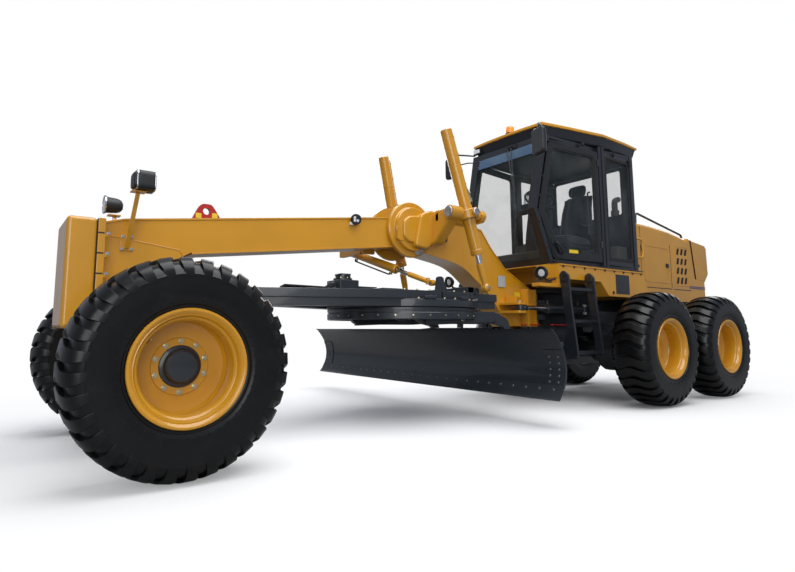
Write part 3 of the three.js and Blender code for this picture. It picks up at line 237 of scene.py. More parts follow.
def cast(name, colour, roughness=0.6):
    """Rough cast or blackened metal."""
    surface = Surface(name, Metallic=0.35)
    surface.feed("Base Color", surface.mix(surface.noise(12.0, 5.0).smooth(0.35, 0.75), opaque(colour),
                                           opaque([part * 1.6 for part in colour])))
    surface.feed("Roughness", roughness + surface.noise(35.0) * 0.15)
    surface.bump(surface.noise(190.0, 4.0), 0.5, 0.0009)
    return surface.material


def moulded(name, colour, roughness=0.5):
    """Grained black plastic."""
    surface = Surface(name, Specular_IOR_Level=0.45)
    tone = surface.noise(5.0, 3.0)
    surface.feed("Base Color", surface.mix(tone.smooth(0.4, 0.7), opaque(colour),
                                           opaque([c * 1.25 for c in colour])))
    cells = surface.node("ShaderNodeTexVoronoi", {}, {"Vector": surface.place(), "Scale": 700.0}, "Distance")
    surface.feed("Roughness", roughness + tone * 0.1)
    surface.bump(cells, 0.35, 0.0004)
    return surface.material


def woven(name, colour):
    """Seat cloth with a fine square weave and a soft sheen."""
    surface = Surface(name, Sheen_Weight=0.35, Sheen_Roughness=0.5)
    where = surface.place()
    across = (surface.axis(1, where) * 420.0).fraction() - 0.5
    along = (surface.axis(2, where) * 420.0 + surface.axis(0, where) * 420.0).fraction() - 0.5
    weave = across.size() + along.size()
    patches = surface.noise(18.0, 4.0)
    base = surface.mix(patches.smooth(0.35, 0.7), opaque(colour), opaque([part * 1.5 for part in colour]))
    surface.feed("Base Color", surface.mix(weave.smooth(0.2, 0.8) * 0.35, base,
                                           opaque([c * 0.45 for c in colour])))
    surface.feed("Roughness", 0.82 + patches * 0.1)
    surface.bump(weave, 0.4, 0.0008)
    return surface.material


def tinted(name, colour, clear=0.75):
    """Tinted safety glass: mostly seen through, with a clean bright reflection."""
    surface = Surface(name, Roughness=0.02, IOR=1.5, Specular_IOR_Level=0.9, Coat_Weight=0.4)
    film = surface.noise(2.6, 4.0).smooth(0.4, 0.85)
    surface.feed("Base Color", surface.mix(film * 0.25, opaque(colour), (0.55, 0.62, 0.65, 1.0)))
    surface.feed("Alpha", film * 0.05 + (1.0 - clear))
    return surface.material


def lens(name, colour, glow=0.0):
    """Ribbed lamp lens."""
    surface = Surface(name, Roughness=0.12, Coat_Weight=0.6, Specular_IOR_Level=0.8)
    ribs = (surface.axis(2) * 95.0).fraction().smooth(0.0, 0.9)
    surface.feed("Base Color", surface.mix(ribs * 0.4, opaque(colour),
                                           opaque([min(1, c * 1.35) for c in colour])))
    surface.bump(ribs, 0.35, 0.0015)
    if glow:
        surface.shader.inputs["Emission Color"].default_value = opaque(colour)
        surface.shader.inputs["Emission Strength"].default_value = glow
    return surface.material


# ---- shapes --------------------------------------------------------------------------------------
def turn_to(axis):
    """The turn that stands a shape's own Z axis along another."""
    return Vector((0, 0, 1)).rotation_difference(Vector(axis).normalized()).to_matrix().to_4x4()


def each(*groups):
    """Everything in the groups that is still there, once each and always in the same order."""
    return list(dict.fromkeys(part for group in groups for part in group if part.is_valid))


def edges_of(verts):
    return each(*(v.link_edges for v in verts))


def faces_of(verts):
    return each(*(v.link_faces for v in verts))


def points_in(geom):
    return [v for v in geom if isinstance(v, bmesh.types.BMVert)]


def bends(edge, limit):
    return len(edge.link_faces) == 2 and edge.calc_face_angle(0) > limit


def bevelled(bm, edges, width, segments=2):
    return bmesh.ops.bevel(bm, geom=edges, offset=width, offset_type="OFFSET", segments=segments, profile=0.5,
                           affect="EDGES", material=-1, clamp_overlap=True)["verts"]


class Shape:
    """One mesh in the making, in millimetres. Each call adds a closed form to it."""

    def __init__(self):
        self.bm = bmesh.new()

    def _bevel(self, verts, width, segments, limit=BEVEL_ANGLE):
        if width <= 0:
            return verts
        made = bevelled(self.bm, [e for e in edges_of(verts) if bends(e, limit)], width, segments)
        return each(verts, made)

    def _outwards(self, verts):
        bmesh.ops.recalc_face_normals(self.bm, faces=faces_of(verts))
        return verts

    def brick(self, low, high, bevel=4.0, segments=2):
        low, high = Vector(low), Vector(high)
        size = Matrix.Diagonal((*(high - low), 1))
        verts = bmesh.ops.create_cube(self.bm, size=1,
                                      matrix=Matrix.Translation((low + high) / 2) @ size)["verts"]
        return self._bevel(verts, bevel, segments)

    def plate(self, outline, axis, near, far, bevel=4.0, segments=2):
        """An outline spread from near to far."""
        verts = [self.bm.verts.new(PLACED[axis](a, b, near)) for a, b in outline]
        face = self.bm.faces.new(verts)
        top = points_in(bmesh.ops.extrude_face_region(self.bm, geom=[face])["geom"])
        bmesh.ops.translate(self.bm, verts=top, vec=AXES[axis] * (far - near))
        verts = self._outwards(verts + top)
        return self._bevel(verts, bevel, segments)

    def bar(self, start, end, radius, sides=32, end_radius=None, bevel=0.0):
        start, end = Vector(start), Vector(end)
        along = end - start
        verts = bmesh.ops.create_cone(
            self.bm, cap_ends=True, cap_tris=False, segments=sides, radius1=radius,
            radius2=radius if end_radius is None else end_radius, depth=along.length,
            matrix=Matrix.Translation((start + end) / 2) @ turn_to(along))["verts"]
        return self._bevel(verts, bevel, 2, ROUND_BEVEL_ANGLE)

    def turned(self, profile, centre, axis, steps=64):
        """A profile of [radius, place along the axis] points, turned about the axis."""
        verts = [self.bm.verts.new((radius, 0, along)) for radius, along in profile]
        edges = [self.bm.edges.new(pair) for pair in zip(verts, verts[1:])]
        if profile[0][0] > 0.01 and profile[0] != profile[-1]:
            edges.append(self.bm.edges.new((verts[-1], verts[0])))
        made = bmesh.ops.spin(self.bm, geom=verts + edges, cent=(0, 0, 0), axis=(0, 0, 1), dvec=(0, 0, 0),
                              angle=math.tau, steps=steps, use_merge=True, use_duplicate=False)
        whole = verts + points_in(made["geom_last"])
        seen = set(whole)
        for vert in whole:      # grows as it goes, until it has every point of the form
            for near in (end for edge in vert.link_edges for end in edge.verts):
                if near not in seen:
                    seen.add(near)
                    whole.append(near)
        bmesh.ops.remove_doubles(self.bm, verts=whole, dist=0.01)
        verts = self._outwards(each(whole))
        return self.move(verts, Matrix.Translation(centre) @ turn_to(axis))

    def ball(self, centre, radius, squash=(1, 1, 1), detail=24):
        return bmesh.ops.create_uvsphere(
            self.bm, u_segments=detail, v_segments=detail // 2, radius=radius,
            matrix=Matrix.Translation(centre) @ Matrix.Diagonal((*squash, 1)))["verts"]

    def bent(self, corners, radius, sides=12):
        """A pipe along a path whose corners are bent round."""
        return self.pipe(bent_path(corners), radius, sides)

    def pipe(self, points, radius, sides=12):
        """A round pipe that follows points, with its ends closed."""
        points = [Vector(p) for p in points]
        ring = bmesh.ops.create_circle(self.bm, cap_ends=True, segments=sides, radius=radius,
                                       matrix=Matrix.Translation(points[0])
                                       @ turn_to(points[1] - points[0]))["verts"]
        every = list(ring)
        face = ring[0].link_faces[0]
        heading = (points[1] - points[0]).normalized()
        for index in range(1, len(points)):
            follow = (points[min(index + 1, len(points) - 1)] - points[index - 1]).normalized()
            made = bmesh.ops.extrude_face_region(self.bm, geom=[face])["geom"]
            face = next(f for f in made if isinstance(f, bmesh.types.BMFace))
            bend = heading.rotation_difference(follow).to_matrix().to_4x4()
            every += self.move(list(face.verts), Matrix.Translation(points[index]) @ bend
                               @ Matrix.Translation(-points[index - 1]))
            heading = follow
        return self._outwards(every)

    def strut(self, start, end, width, depth, bevel=3.0):
        """A flat bar between two points, its width level and its depth square to it."""
        start, end = Vector(start), Vector(end)
        along = (end - start).normalized()
        level = Vector((0, 0, 1)).cross(along)
        level = level.normalized() if level.length > 0.01 else Vector((0, 1, 0))
        verts = self.brick((-width / 2, -depth / 2, 0), (width / 2, depth / 2, (end - start).length), bevel)
        turn = Matrix((level, along.cross(level), along)).transposed().to_4x4()
        return self.move(verts, Matrix.Translation(start) @ turn)

    def pierced(self, outline, centre, radius, axis, near, far, bevel=3.0, steps=40):
        """An outline with a round hole in it, spread from near to far."""
        angles = {math.tau * index / steps for index in range(steps)}
        angles |= {math.atan2(b - centre[1], a - centre[0]) % math.tau for a, b in outline}
        outer, inner = [], []
        for angle in sorted(angles):
            aim = Vector((math.cos(angle), math.sin(angle)))
            reach = max(self._reach(Vector(centre), aim, Vector(p), Vector(q))
                        for p, q in zip(outline, [*outline[1:], outline[0]]))
            outer.append(Vector(centre) + aim * reach)
            inner.append(Vector(centre) + aim * radius)
        return self.framed(outer, inner, axis, near, far, bevel)

    @staticmethod
    def _reach(centre, aim, start, end):
        side = end - start
        cross = aim.x * side.y - aim.y * side.x
        if abs(cross) < 1e-9:
            return 0.0
        gap = start - centre
        share = (gap.x * aim.y - gap.y * aim.x) / cross
        distance = (gap.x * side.y - gap.y * side.x) / cross
        return distance if -1e-6 <= share <= 1 + 1e-6 and distance > 0 else 0.0

    def framed(self, outer, inner, axis, near, far, bevel=4.0):
        """A frame between two outlines with the same number of corners."""
        rings = [[self.bm.verts.new(PLACED[axis](a, b, d)) for a, b in line]
                 for line, d in ((outer, near), (inner, near), (inner, far), (outer, far))]
        return self._ring_faces(rings, True, bevel)

    def lofted(self, loops, bevel=0.0):
        """A skin over closed loops of points, one after the other, with its two ends closed."""
        rings = [[self.bm.verts.new(point) for point in loop] for loop in loops]
        self.bm.faces.new(rings[0])
        self.bm.faces.new(rings[-1])
        return self._ring_faces(rings, False, bevel)

    def _ring_faces(self, rings, closed, bevel):
        total = len(rings[0])
        pairs = list(zip(rings, rings[1:])) + ([(rings[-1], rings[0])] if closed else [])
        for ring, after in pairs:
            for index in range(total):
                follow = (index + 1) % total
                self.bm.faces.new((ring[index], ring[follow], after[follow], after[index]))
        verts = self._outwards([v for ring in rings for v in ring])
        return self._bevel(verts, bevel, 2)

    def ringed(self, radius, hole, axis, centre, near, far, bevel=3.0, steps=48):
        """A washer or collar about an axis that runs through the centre."""
        half = [(hole, near), (radius - bevel, near), (radius, near + bevel), (radius, far - bevel),
                (radius - bevel, far), (hole, far)]
        return self.turned(half, centre, axis, steps)

    def bolt(self, place, axis, radius=14.0, height=12.0):
        """A hexagon head on its washer."""
        place, axis = Vector(place), Vector(axis).normalized()
        washer = self.bar(place - axis * 2, place + axis * 3, radius * 1.35, 16)
        head = self.bar(place + axis * 2, place + axis * height, radius, 6, bevel=0)
        return washer + head

    def move(self, verts, matrix):
        bmesh.ops.transform(self.bm, matrix=matrix, verts=verts)
        return verts

    def copies(self, verts, matrices):
        """The same form again, once for each matrix."""
        geom = [*faces_of(verts), *edges_of(verts), *verts]
        made = []
        for matrix in matrices:
            fresh = points_in(bmesh.ops.duplicate(self.bm, geom=geom)["geom"])
            made += self.over(fresh, matrix) if matrix.determinant() < 0 else self.move(fresh, matrix)
        return made

    def over(self, verts, matrix=MIRRORED):
        """The form itself goes over to the machine's other side, its faces still outwards."""
        bmesh.ops.reverse_faces(self.bm, faces=faces_of(verts))
        return self.move(verts, matrix)

    def both(self, verts):
        """The same form again on the machine's other side."""
        return self.copies(verts, [MIRRORED])

    def around(self, verts, count, axis, centre=(0, 0, 0)):
        """The same form again, evenly spaced round an axis through the centre."""
        about, step = Matrix.Translation(centre), math.tau / count
        return self.copies(verts, [about @ Matrix.Rotation(step * index, 4, axis) @ about.inverted()
                                   for index in range(1, count)])

    def bolt_ring(self, centre, axis, ring, count, radius, height, start=0.0):
        """Bolts on a circle round one of the machine's axes."""
        across, up = [way for way in AXES.values() if not way.dot(Vector(axis))]
        for index in range(count):
            angle = start + math.tau * index / count
            spot = Vector(centre) + (across * math.cos(angle) + up * math.sin(angle)) * ring
            self.bolt(spot, axis, radius, height)

    def piece(self, name, body, finish, *replaced, slot=None):
        """The finished piece, riding on its body."""
        self.move(self.bm.verts[:], DRAWN)
        for face in self.bm.faces:
            face.smooth = True
        for edge in self.bm.edges:
            edge.smooth = len(edge.link_faces) == 2 and edge.calc_face_angle(0) < SHARP_ANGLE
        mesh = bpy.data.meshes.new(name)
        self.bm.to_mesh(mesh)
        self.bm.free()
        mesh.materials.append(FINISHES[finish])
        made = bpy.data.objects.new(name, mesh)
        bpy.context.scene.collection.objects.link(made)
        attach(made, body)
        if replaced:
            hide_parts(*replaced)
        made.modifiers.new("Shading", "WEIGHTED_NORMAL").keep_sharp = True
        return made


FINISHES = {}


def softened(node, width=5.0):
    """A copy of a frame node with its edges rounded, which stands for the node."""
    copy = bmesh.new()
    copy.from_mesh(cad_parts[node].data)
    bmesh.ops.transform(copy, matrix=DRAWN.inverted(), verts=copy.verts[:])
    bmesh.ops.remove_doubles(copy, verts=copy.verts[:], dist=0.05)
    bmesh.ops.dissolve_limit(copy, angle_limit=math.radians(1.5), verts=copy.verts[:], edges=copy.edges[:],
                             use_dissolve_boundaries=False, delimit=set())
    bevelled(copy, [e for e in copy.edges if bends(e, SHARP_ANGLE) and e.calc_length() > 3 * width], width)
    bmesh.ops.triangulate(copy, faces=[f for f in copy.faces if len(f.verts) > 4])
    for face in copy.faces:
        face.material_index = 0
    shape = Shape()
    mesh = bpy.data.meshes.new(f"{node}_copy")
    copy.to_mesh(mesh)
    copy.free()
    shape.bm.from_mesh(mesh)
    bpy.data.meshes.remove(mesh)
    return shape


def smooth_line(points, steps=5):
    """A flowing line through points."""
    points = [Vector(p) for p in points]
    line = []
    for index in range(len(points) - 1):
        before, start = points[max(index - 1, 0)], points[index]
        end, after = points[index + 1], points[min(index + 2, len(points) - 1)]
        for step in range(steps):
            t = step / steps
            line.append(0.5 * (2 * start + (end - before) * t
                               + (2 * before - 5 * start + 4 * end - after) * t ** 2
                               + (3 * start - before - 3 * end + after) * t ** 3))
    return [tuple(p) for p in [*line, points[-1]]]


def box(a0, b0, a1, b1):
    """The outline of an upright rectangle between two corners."""
    return [(a0, b0), (a0, b1), (a1, b1), (a1, b0)]


CORNER_SHARE = 0.45     # the most of a side that a corner's rounding takes up


def corner_curve(before, corner, after, radius, steps):
    """A corner rounded off, or as much of it as its two sides have room for."""
    reach = min(radius, (before - corner).length * CORNER_SHARE, (after - corner).length * CORNER_SHARE)
    start = corner + (before - corner).normalized() * reach
    end = corner + (after - corner).normalized() * reach
    curve = []
    for step in range(steps + 1):
        t = step / steps
        curve.append(start * (1 - t) ** 2 + corner * 2 * t * (1 - t) + end * t ** 2)
    return curve


def rounded(outline, radius, steps=4):
    """An outline with its corners rounded."""
    line = [Vector(p) for p in outline]
    return [tuple(point) for before, corner, after in zip([line[-1], *line], line, [*line[1:], line[0]])
            for point in corner_curve(before, corner, after, radius, steps)]


def bent_path(corners):
    """Points along a path, with every corner bent as wide as it can be."""
    line = [Vector(p) for p in corners]
    bends = [point for before, corner, after in zip(line, line[1:], line[2:])
             for point in corner_curve(before, corner, after, math.inf, 6)]
    return [line[0], *bends, line[-1]]


# ---- what a user would change --------------------------------------------------------------------
def length(name, text, default, low=0.0, high=10.0):
    return bpy.props.FloatProperty(name=name, description=text, default=default, min=low, max=high,
                                   subtype="DISTANCE", unit="LENGTH")


def colour(name, text, default):
    return bpy.props.FloatVectorProperty(name=name, description=text, default=default, subtype="COLOR",
                                         size=3, min=0.0, max=1.0)


def count(name, text, default, low, high):
    return bpy.props.IntProperty(name=name, description=text, default=default, min=low, max=high)


class GraderColours(bpy.types.PropertyGroup):
    body: colour("Body paint", "Yellow ochre of the frame, hood and rims", (0.62, 0.285, 0.010))
    chassis: colour("Chassis paint", "Blue-black of the drawbar, circle, blade and cab",
                    (0.016, 0.021, 0.028))
    cab: colour("Cab frame", "Black of the pillars and doors", (0.009, 0.011, 0.016))
    rubber: colour("Rubber", "Tyre compound", (0.0020, 0.0021, 0.0024))
    glass: colour("Glass", "Tint of the cab's windows", (0.045, 0.062, 0.066))
    seat: colour("Seat cloth", "Cloth of the driver's seat", (0.016, 0.022, 0.035))
    lifting: colour("Lifting points", "Red of the lifting eye and lock bars", (0.45, 0.012, 0.012))


class GraderWheels(bpy.types.PropertyGroup):
    tyre_radius: length("Tyre radius", "From the axle to the top of a lug", 0.674, 0.3, 1.0)
    tyre_width: length("Tyre width", "Across the sidewalls", 0.444, 0.2, 0.8)
    lug_depth: length("Lug depth", "Height of a lug above the tread", 0.034, 0.01, 0.08)
    lugs: count("Lugs", "Lugs round each half of the tread", 32, 12, 60)
    studs: count("Wheel bolts", "Bolts round a front hub", 10, 4, 20)
    stud_circle: length("Bolt circle", "Radius that the front hub's bolts stand on", 0.156, 0.1, 0.25)


class GraderBlade(bpy.types.PropertyGroup):
    edge_bolts: count("Edge bolts", "Bolts along the cutting edge", 27, 8, 60)


class GraderStage(bpy.types.PropertyGroup):
    focal_length: bpy.props.FloatProperty(name="Lens", description="Focal length on a 36 mm wide sensor",
                                          default=24.47, min=10, max=200, unit="CAMERA")
    camera_height: length("Camera height", "Height of the lens above the ground", 0.9039, 0.1, 5.0)
    floor_size: length("Floor", "Width of the studio floor", 120.0, 20.0, 400.0)
    floor_colour: colour("Floor colour", "Pale floor and backdrop", (0.86, 0.86, 0.86))
    key_power: bpy.props.FloatProperty(name="Key light", description="Power of the large lamp overhead",
                                       default=1150.0, min=0, max=20000, unit="POWER")
    fill_power: bpy.props.FloatProperty(name="Fill light", description="Power of the lamp beside the camera",
                                        default=400.0, min=0, max=20000, unit="POWER")


# ---- finishes ------------------------------------------------------------------------------------
class GRADER_OT_finishes(bpy.types.Operator):
    """Makes every paint, metal, rubber, glass, plastic and cloth that the pieces use"""
    bl_idname = "grader.finishes"
    bl_label = "Finishes"

    def execute(self, context):
        shades = context.scene.grader_colours
        dust = (0.50, 0.42, 0.30)
        FINISHES.update(
            yellow=painted("YellowPaint", shades.body, 0.3, 0.55, dust, 0.10),
            slate=painted("SlatePaint", shades.chassis, 0.36, 0.35, (0.20, 0.22, 0.24), 0.22),
            black=painted("CabBlack", shades.cab, 0.32, 0.3, (0.16, 0.17, 0.18), 0.15),
            edge=painted("CuttingEdge", (0.020, 0.025, 0.032), 0.42, 0.15, (0.20, 0.21, 0.22), 0.3, 0.0009),
            worn=plated("WornBolt", (0.16, 0.165, 0.17), 0.45),
            red=painted("RedPaint", shades.lifting, 0.35, 0.4, dust, 0.10),
            blue=painted("BlueTrim", (0.012, 0.05, 0.24), 0.4, 0.2, dust, 0.05),
            door=painted("DoorBlack", (0.004, 0.0045, 0.0055), 0.25, 0.4, (0.10, 0.10, 0.11), 0.1),
            patch=painted("YellowPatch", (0.80, 0.58, 0.02), 0.45, 0.1, dust, 0.05),
            plate=painted("BarePlate", (0.42, 0.44, 0.46), 0.4, 0.0, dust, 0.05),
            rubber=rubber("TyreRubber", shades.rubber),
            seal=moulded("SealRubber", (0.012, 0.012, 0.013), 0.65),
            plastic=moulded("BlackPlastic", (0.014, 0.015, 0.017), 0.42),
            lining=moulded("CabLining", (0.06, 0.058, 0.054), 0.6),
            chrome=plated("HardChrome", (0.78, 0.79, 0.80), 0.06),
            steel=plated("BareSteel", (0.50, 0.50, 0.51), 0.28),
            zinc=plated("ZincPlate", (0.62, 0.55, 0.36), 0.3),
            iron=cast("CastIron", (0.05, 0.052, 0.056)),
            cloth=woven("ChairCloth", shades.seat),
            glass=tinted("TintedGlass", shades.glass, 0.88),
            strip=tinted("BlueStrip", (0.10, 0.20, 0.34), 0.62),
            lamp=lens("LampLens", (0.72, 0.75, 0.78)),
            amber=lens("AmberLens", (0.85, 0.24, 0.01), 0.25),
            tail_red=lens("TailLens", (0.45, 0.01, 0.01)),
        )
        return {"FINISHED"}


# ---- the stage -----------------------------------------------------------------------------------
class GRADER_OT_stage(bpy.types.Operator):
    """Sets the pale floor, the soft lamps, the world and the camera"""
    bl_idname = "grader.stage"
    bl_label = "Stage"

    CAMERA_PLACE = (983.7, 4493.0)
    HEADING = -125.16
    RISE = 6.88
    SHIFT = (0.0325, -0.0282)

    def execute(self, context):
        stage = context.scene.grader_stage
        self.floor(stage)
        self.world()
        for name, place, aim, size, power in (
                ("KeyLamp", (-2600, 2600, 9800), (-3200, 0, 900), 11.0, stage.key_power),
                ("FillLamp", (4200, 9500, 3600), (-2600, 0, 1200), 7.0, stage.fill_power),
                ("BackLamp", (-6500, -8800, 5200), (-3200, 0, 1200), 7.0, stage.fill_power),
                ("TailLamp", (-15000, -2500, 5200), (-6000, 0, 1200), 6.0, stage.fill_power * 0.6)):
            self.lamp(name, place, aim, size, power)
        self.camera(stage)
        view = context.scene.view_settings
        view.view_transform = "Standard"
        return {"FINISHED"}

    def floor(self, stage):
        bm = bmesh.new()
        bmesh.ops.create_grid(bm, x_segments=1, y_segments=1, size=stage.floor_size / 2)
        mesh = bpy.data.meshes.new("StudioFloor")
        bm.to_mesh(mesh)
        bm.free()
        surface = Surface("PaleFloor", Roughness=0.85, Specular_IOR_Level=0.15)
        tone = surface.noise(0.6, 2.0).smooth(0.3, 0.7)
        seen = surface.node("ShaderNodeLightPath", {}, {}, "Is Camera Ray")
        pale = surface.mix(tone, opaque(stage.floor_colour),
                           opaque([part * 0.985 for part in stage.floor_colour]))
        surface.feed("Base Color", surface.mix(seen, opaque([part * 0.35 for part in stage.floor_colour]),
                                               pale))
        glow = surface.node("ShaderNodeEmission", {}, {"Color": (1.0, 1.0, 1.0, 1.0)})
        away = surface.node("ShaderNodeVectorMath", {"operation": "LENGTH"}, {0: surface.place((0.5, 1, 1))},
                            "Value")
        blend = surface.node("ShaderNodeMixShader", {}, {0: seen * away.smooth(1.6, 4.6)})
        surface.tree.links.new(surface.shader.outputs[0], blend.socket.node.inputs[1])
        surface.tree.links.new(glow.socket, blend.socket.node.inputs[2])
        surface.tree.links.new(blend.socket, surface.output.inputs["Surface"])
        mesh.materials.append(surface.material)
        floor = bpy.data.objects.new("StudioFloor", mesh)
        bpy.context.scene.collection.objects.link(floor)

    def world(self):
        world = bpy.data.worlds.new("PaleStudio")
        world.use_nodes = True
        tree = world.node_tree
        tree.nodes.clear()
        output = tree.nodes.new("ShaderNodeOutputWorld")
        light = tree.nodes.new("ShaderNodeBackground")
        seen = tree.nodes.new("ShaderNodeBackground")
        mix = tree.nodes.new("ShaderNodeMixShader")
        rays = tree.nodes.new("ShaderNodeLightPath")
        clear = tree.nodes.new("ShaderNodeMath")
        light.inputs["Color"].default_value = (0.80, 0.87, 1.0, 1.0)
        light.inputs["Strength"].default_value = 0.38
        seen.inputs["Color"].default_value = (1.0, 1.0, 1.0, 1.0)
        clear.operation = "MAXIMUM"
        tree.links.new(rays.outputs["Is Camera Ray"], clear.inputs[0])
        tree.links.new(rays.outputs["Is Transmission Ray"], clear.inputs[1])
        tree.links.new(clear.outputs[0], mix.inputs[0])
        tree.links.new(light.outputs[0], mix.inputs[1])
        tree.links.new(seen.outputs[0], mix.inputs[2])
        tree.links.new(mix.outputs[0], output.inputs["Surface"])
        bpy.context.scene.world = world

    def lamp(self, name, place, aim, size, power):
        data = bpy.data.lights.new(name, "AREA")
        data.shape = "DISK"
        data.size = size
        data.energy = power
        made = bpy.data.objects.new(name, data)
        start, end = DRAWN @ Vector(place), DRAWN @ Vector(aim)
        made.location = start
        made.rotation_euler = (end - start).to_track_quat("-Z", "Y").to_euler()
        bpy.context.scene.collection.objects.link(made)

    def camera(self, stage):
        data = bpy.data.cameras.new("Camera")
        data.sensor_width = 36
        data.lens = stage.focal_length
        data.shift_x, data.shift_y = self.SHIFT
        data.clip_end = 500
        made = bpy.data.objects.new("Camera", data)
        made.location = DRAWN @ Vector((*self.CAMERA_PLACE, stage.camera_height * 1000))
        made.rotation_euler = (math.radians(90 + self.RISE), 0, math.radians(self.HEADING - 90))
        bpy.context.scene.collection.objects.link(made)
        bpy.context.scene.camera = made


# ---- wheels --------------------------------------------------------------------------------------
class GRADER_OT_wheels(bpy.types.Operator):
    """Builds the six tyres with their lugs, and the rims with their hubs and bolts"""
    bl_idname = "grader.wheels"
    bl_label = "Tyres and rims"

    # half of the tyre's section: [radius, place along the axle], from the bead to the middle of the tread
    SECTION = ((326, 172), (350, 188), (362, 196), (374, 197), (380, 205), (396, 210), (402, 214), (440, 219),
               (500, 220.5), (540, 219), (556, 220), (564, 215), (584, 207), (606, 190), (626, 160),
               (638, 112), (642, 0))
    # the lugs' outer line: [place along the axle, radius]
    CROWN = ((0, WHEEL_RADIUS), (60, 673), (110, 668), (150, 657), (182, 640), (204, 616), (216, 588),
             (221, 560), (222, 535))
    # a lug's middle line: [place along the crown, shift round the tyre as a share of the pitch]
    LUG_SPINE = ((-2, 0.10), (40, 0.06), (80, -0.06), (120, -0.20), (160, -0.30), (200, -0.33), (240, -0.30),
                 (300, -0.24))
    LUG_SHARE = 0.64        # of the pitch, the rest is the groove
    LUG_TAPER = 0.0011 * LUG_SHARE
    LUG_ROOT = 8            # how far a lug reaches into the carcass

    def execute(self, context):
        sizes = context.scene.grader_wheels
        for side, sign in SIDES:
            for name, x, y, front in (("front", 0, 1050, True), ("middle", -5580, 1100, False),
                                      ("rear", -7100, 1100, False)):
                place = (Matrix.Translation((x, sign * y, WHEEL_RADIUS))
                         @ Matrix.Rotation(0 if sign > 0 else math.pi, 4, "Z"))
                self.tyre(f"{name}_{side}", place, sizes)
                self.rim(f"{name}_{side}", place, front, sizes)
        return {"FINISHED"}

    def on_crown(self, along, depth):
        """A point on the lugs' outer line, a distance along it from the middle, sunk by a depth."""
        left = along
        for (y0, r0), (y1, r1) in zip(self.CROWN, self.CROWN[1:]):
            span = math.hypot(y1 - y0, r1 - r0)
            if left <= span or (y1, r1) == self.CROWN[-1]:
                t = left / span
                ny, nr = (r0 - r1) / span, (y1 - y0) / span
                return y0 + (y1 - y0) * t - ny * depth, r0 + (r1 - r0) * t - nr * depth
            left -= span

    def lug(self, shape, sizes):
        """One lug, drawn flat from a curved outline and then laid over the tyre's crown."""
        depth = sizes.lug_depth * 1000
        pitch = math.tau * WHEEL_RADIUS / sizes.lugs
        half = [pitch * (self.LUG_SHARE / 2 - max(along - 200, 0) * self.LUG_TAPER) for along,
                _ in self.LUG_SPINE]
        rows = [(-shift * pitch, along, width) for (along, shift), width in zip(self.LUG_SPINE, half)]
        outline = ([(middle - width, along) for middle, along, width in rows]
                   + [(middle + width, along) for middle, along, width in reversed(rows)])
        verts = [shape.bm.verts.new((*point, 0)) for point in outline]
        face = shape.bm.faces.new(verts)
        top = points_in(bmesh.ops.extrude_face_region(shape.bm, geom=[face])["geom"])
        bmesh.ops.translate(shape.bm, verts=top, vec=(0, 0, depth + self.LUG_ROOT))
        verts += top
        for v in top:
            v.co.x *= 0.94
        for cut in (20, 60, 100, 140, 180, 205, 225, 250, 270):
            made = bmesh.ops.bisect_plane(shape.bm, geom=[*verts, *edges_of(verts), *faces_of(verts)],
                                          plane_co=(0, cut, 0), plane_no=(0, 1, 0), dist=0.01)
            verts = each(verts, points_in(made["geom_cut"]))
        bmesh.ops.recalc_face_normals(shape.bm, faces=faces_of(verts))
        rim = [e for e in edges_of(verts) if bends(e,
                                                   math.radians(40)) and min(v.co.z for v in e.verts) > depth]
        made = bevelled(shape.bm, rim, 4)
        verts = each(verts, made)
        for v in verts:
            y, r = self.on_crown(v.co.y, depth + self.LUG_ROOT - v.co.z)
            angle = v.co.x / WHEEL_RADIUS
            v.co = Vector((r * math.sin(angle), y, r * math.cos(angle)))
        return verts

    def tyre(self, name, place, sizes):
        shape = Shape()
        section = [(r, y) for r, y in self.SECTION] + [(r, -y) for r, y in reversed(self.SECTION[:-1])]
        shape.turned(section, (0, 0, 0), (0, 1, 0), 128)
        lug = self.lug(shape, sizes)
        other = shape.both(lug)
        shape.around(lug, sizes.lugs, "Y")
        shape.around(other, sizes.lugs, "Y")
        shape.around(shape.brick((-3, 214, 392), (3, 218, 418), 1), 40, "Y")
        shape.move(shape.bm.verts[:], place)
        shape.piece(f"tyre_{name}_tread", f"wheel_{name}", "rubber", f"tyre_{name}")

    def rim(self, name, place, front, sizes):
        shape = Shape()
        barrel = [(276, 110), (280, 146), (288, 160), (300, 167), (305, 182), (312, 192), (318, 190),
                  (324, 199), (338, 207), (350, 206), (354, 198), (351, 190), (338, 187), (326, 180),
                  (319, 168), (318, 120), (306, 100), (306, -130), (318, -150), (322, -180), (346, -188),
                  (353, -197), (349, -206), (335, -208), (318, -200), (300, -186), (292, -140), (286, 20),
                  (276, 80)]
        shape.turned(barrel, (0, 0, 0), (0, 1, 0), 96)
        if front:
            shape.turned([(0, -44), (240, -40), (276, -30), (300, 20), (304, 30), (296, 34), (270, -8),
                          (230, -16), (0, -18)], (0, 0, 0), (0, 1, 0), 96)
            shape.turned([(120, -20), (124, -8), (172, -8), (178, -18)], (0, 0, 0), (0, 1, 0), 64)
        else:
            shape.turned([(0, -80), (200, -76), (280, -40), (300, 10), (304, 22), (296, 26), (266, -22),
                          (206, -52), (0, -54)], (0, 0, 0), (0, 1, 0), 96)
            shape.turned([(0, -56), (172, -56), (172, -46), (160, -40), (118, -34), (104, -4), (96, 6),
                          (0, 10)], (0, 0, 0), (0, 1, 0), 64)
        bracket = shape.brick((-18, 0 if front else -10, 252), (18, 66, 258), 1)
        shape.move(bracket, Matrix.Rotation(math.radians(52), 4, "Y"))
        shape.move(shape.bm.verts[:], place)
        shape.piece(f"rim_{name}_barrel", f"wheel_{name}", "yellow", f"rim_{name}")

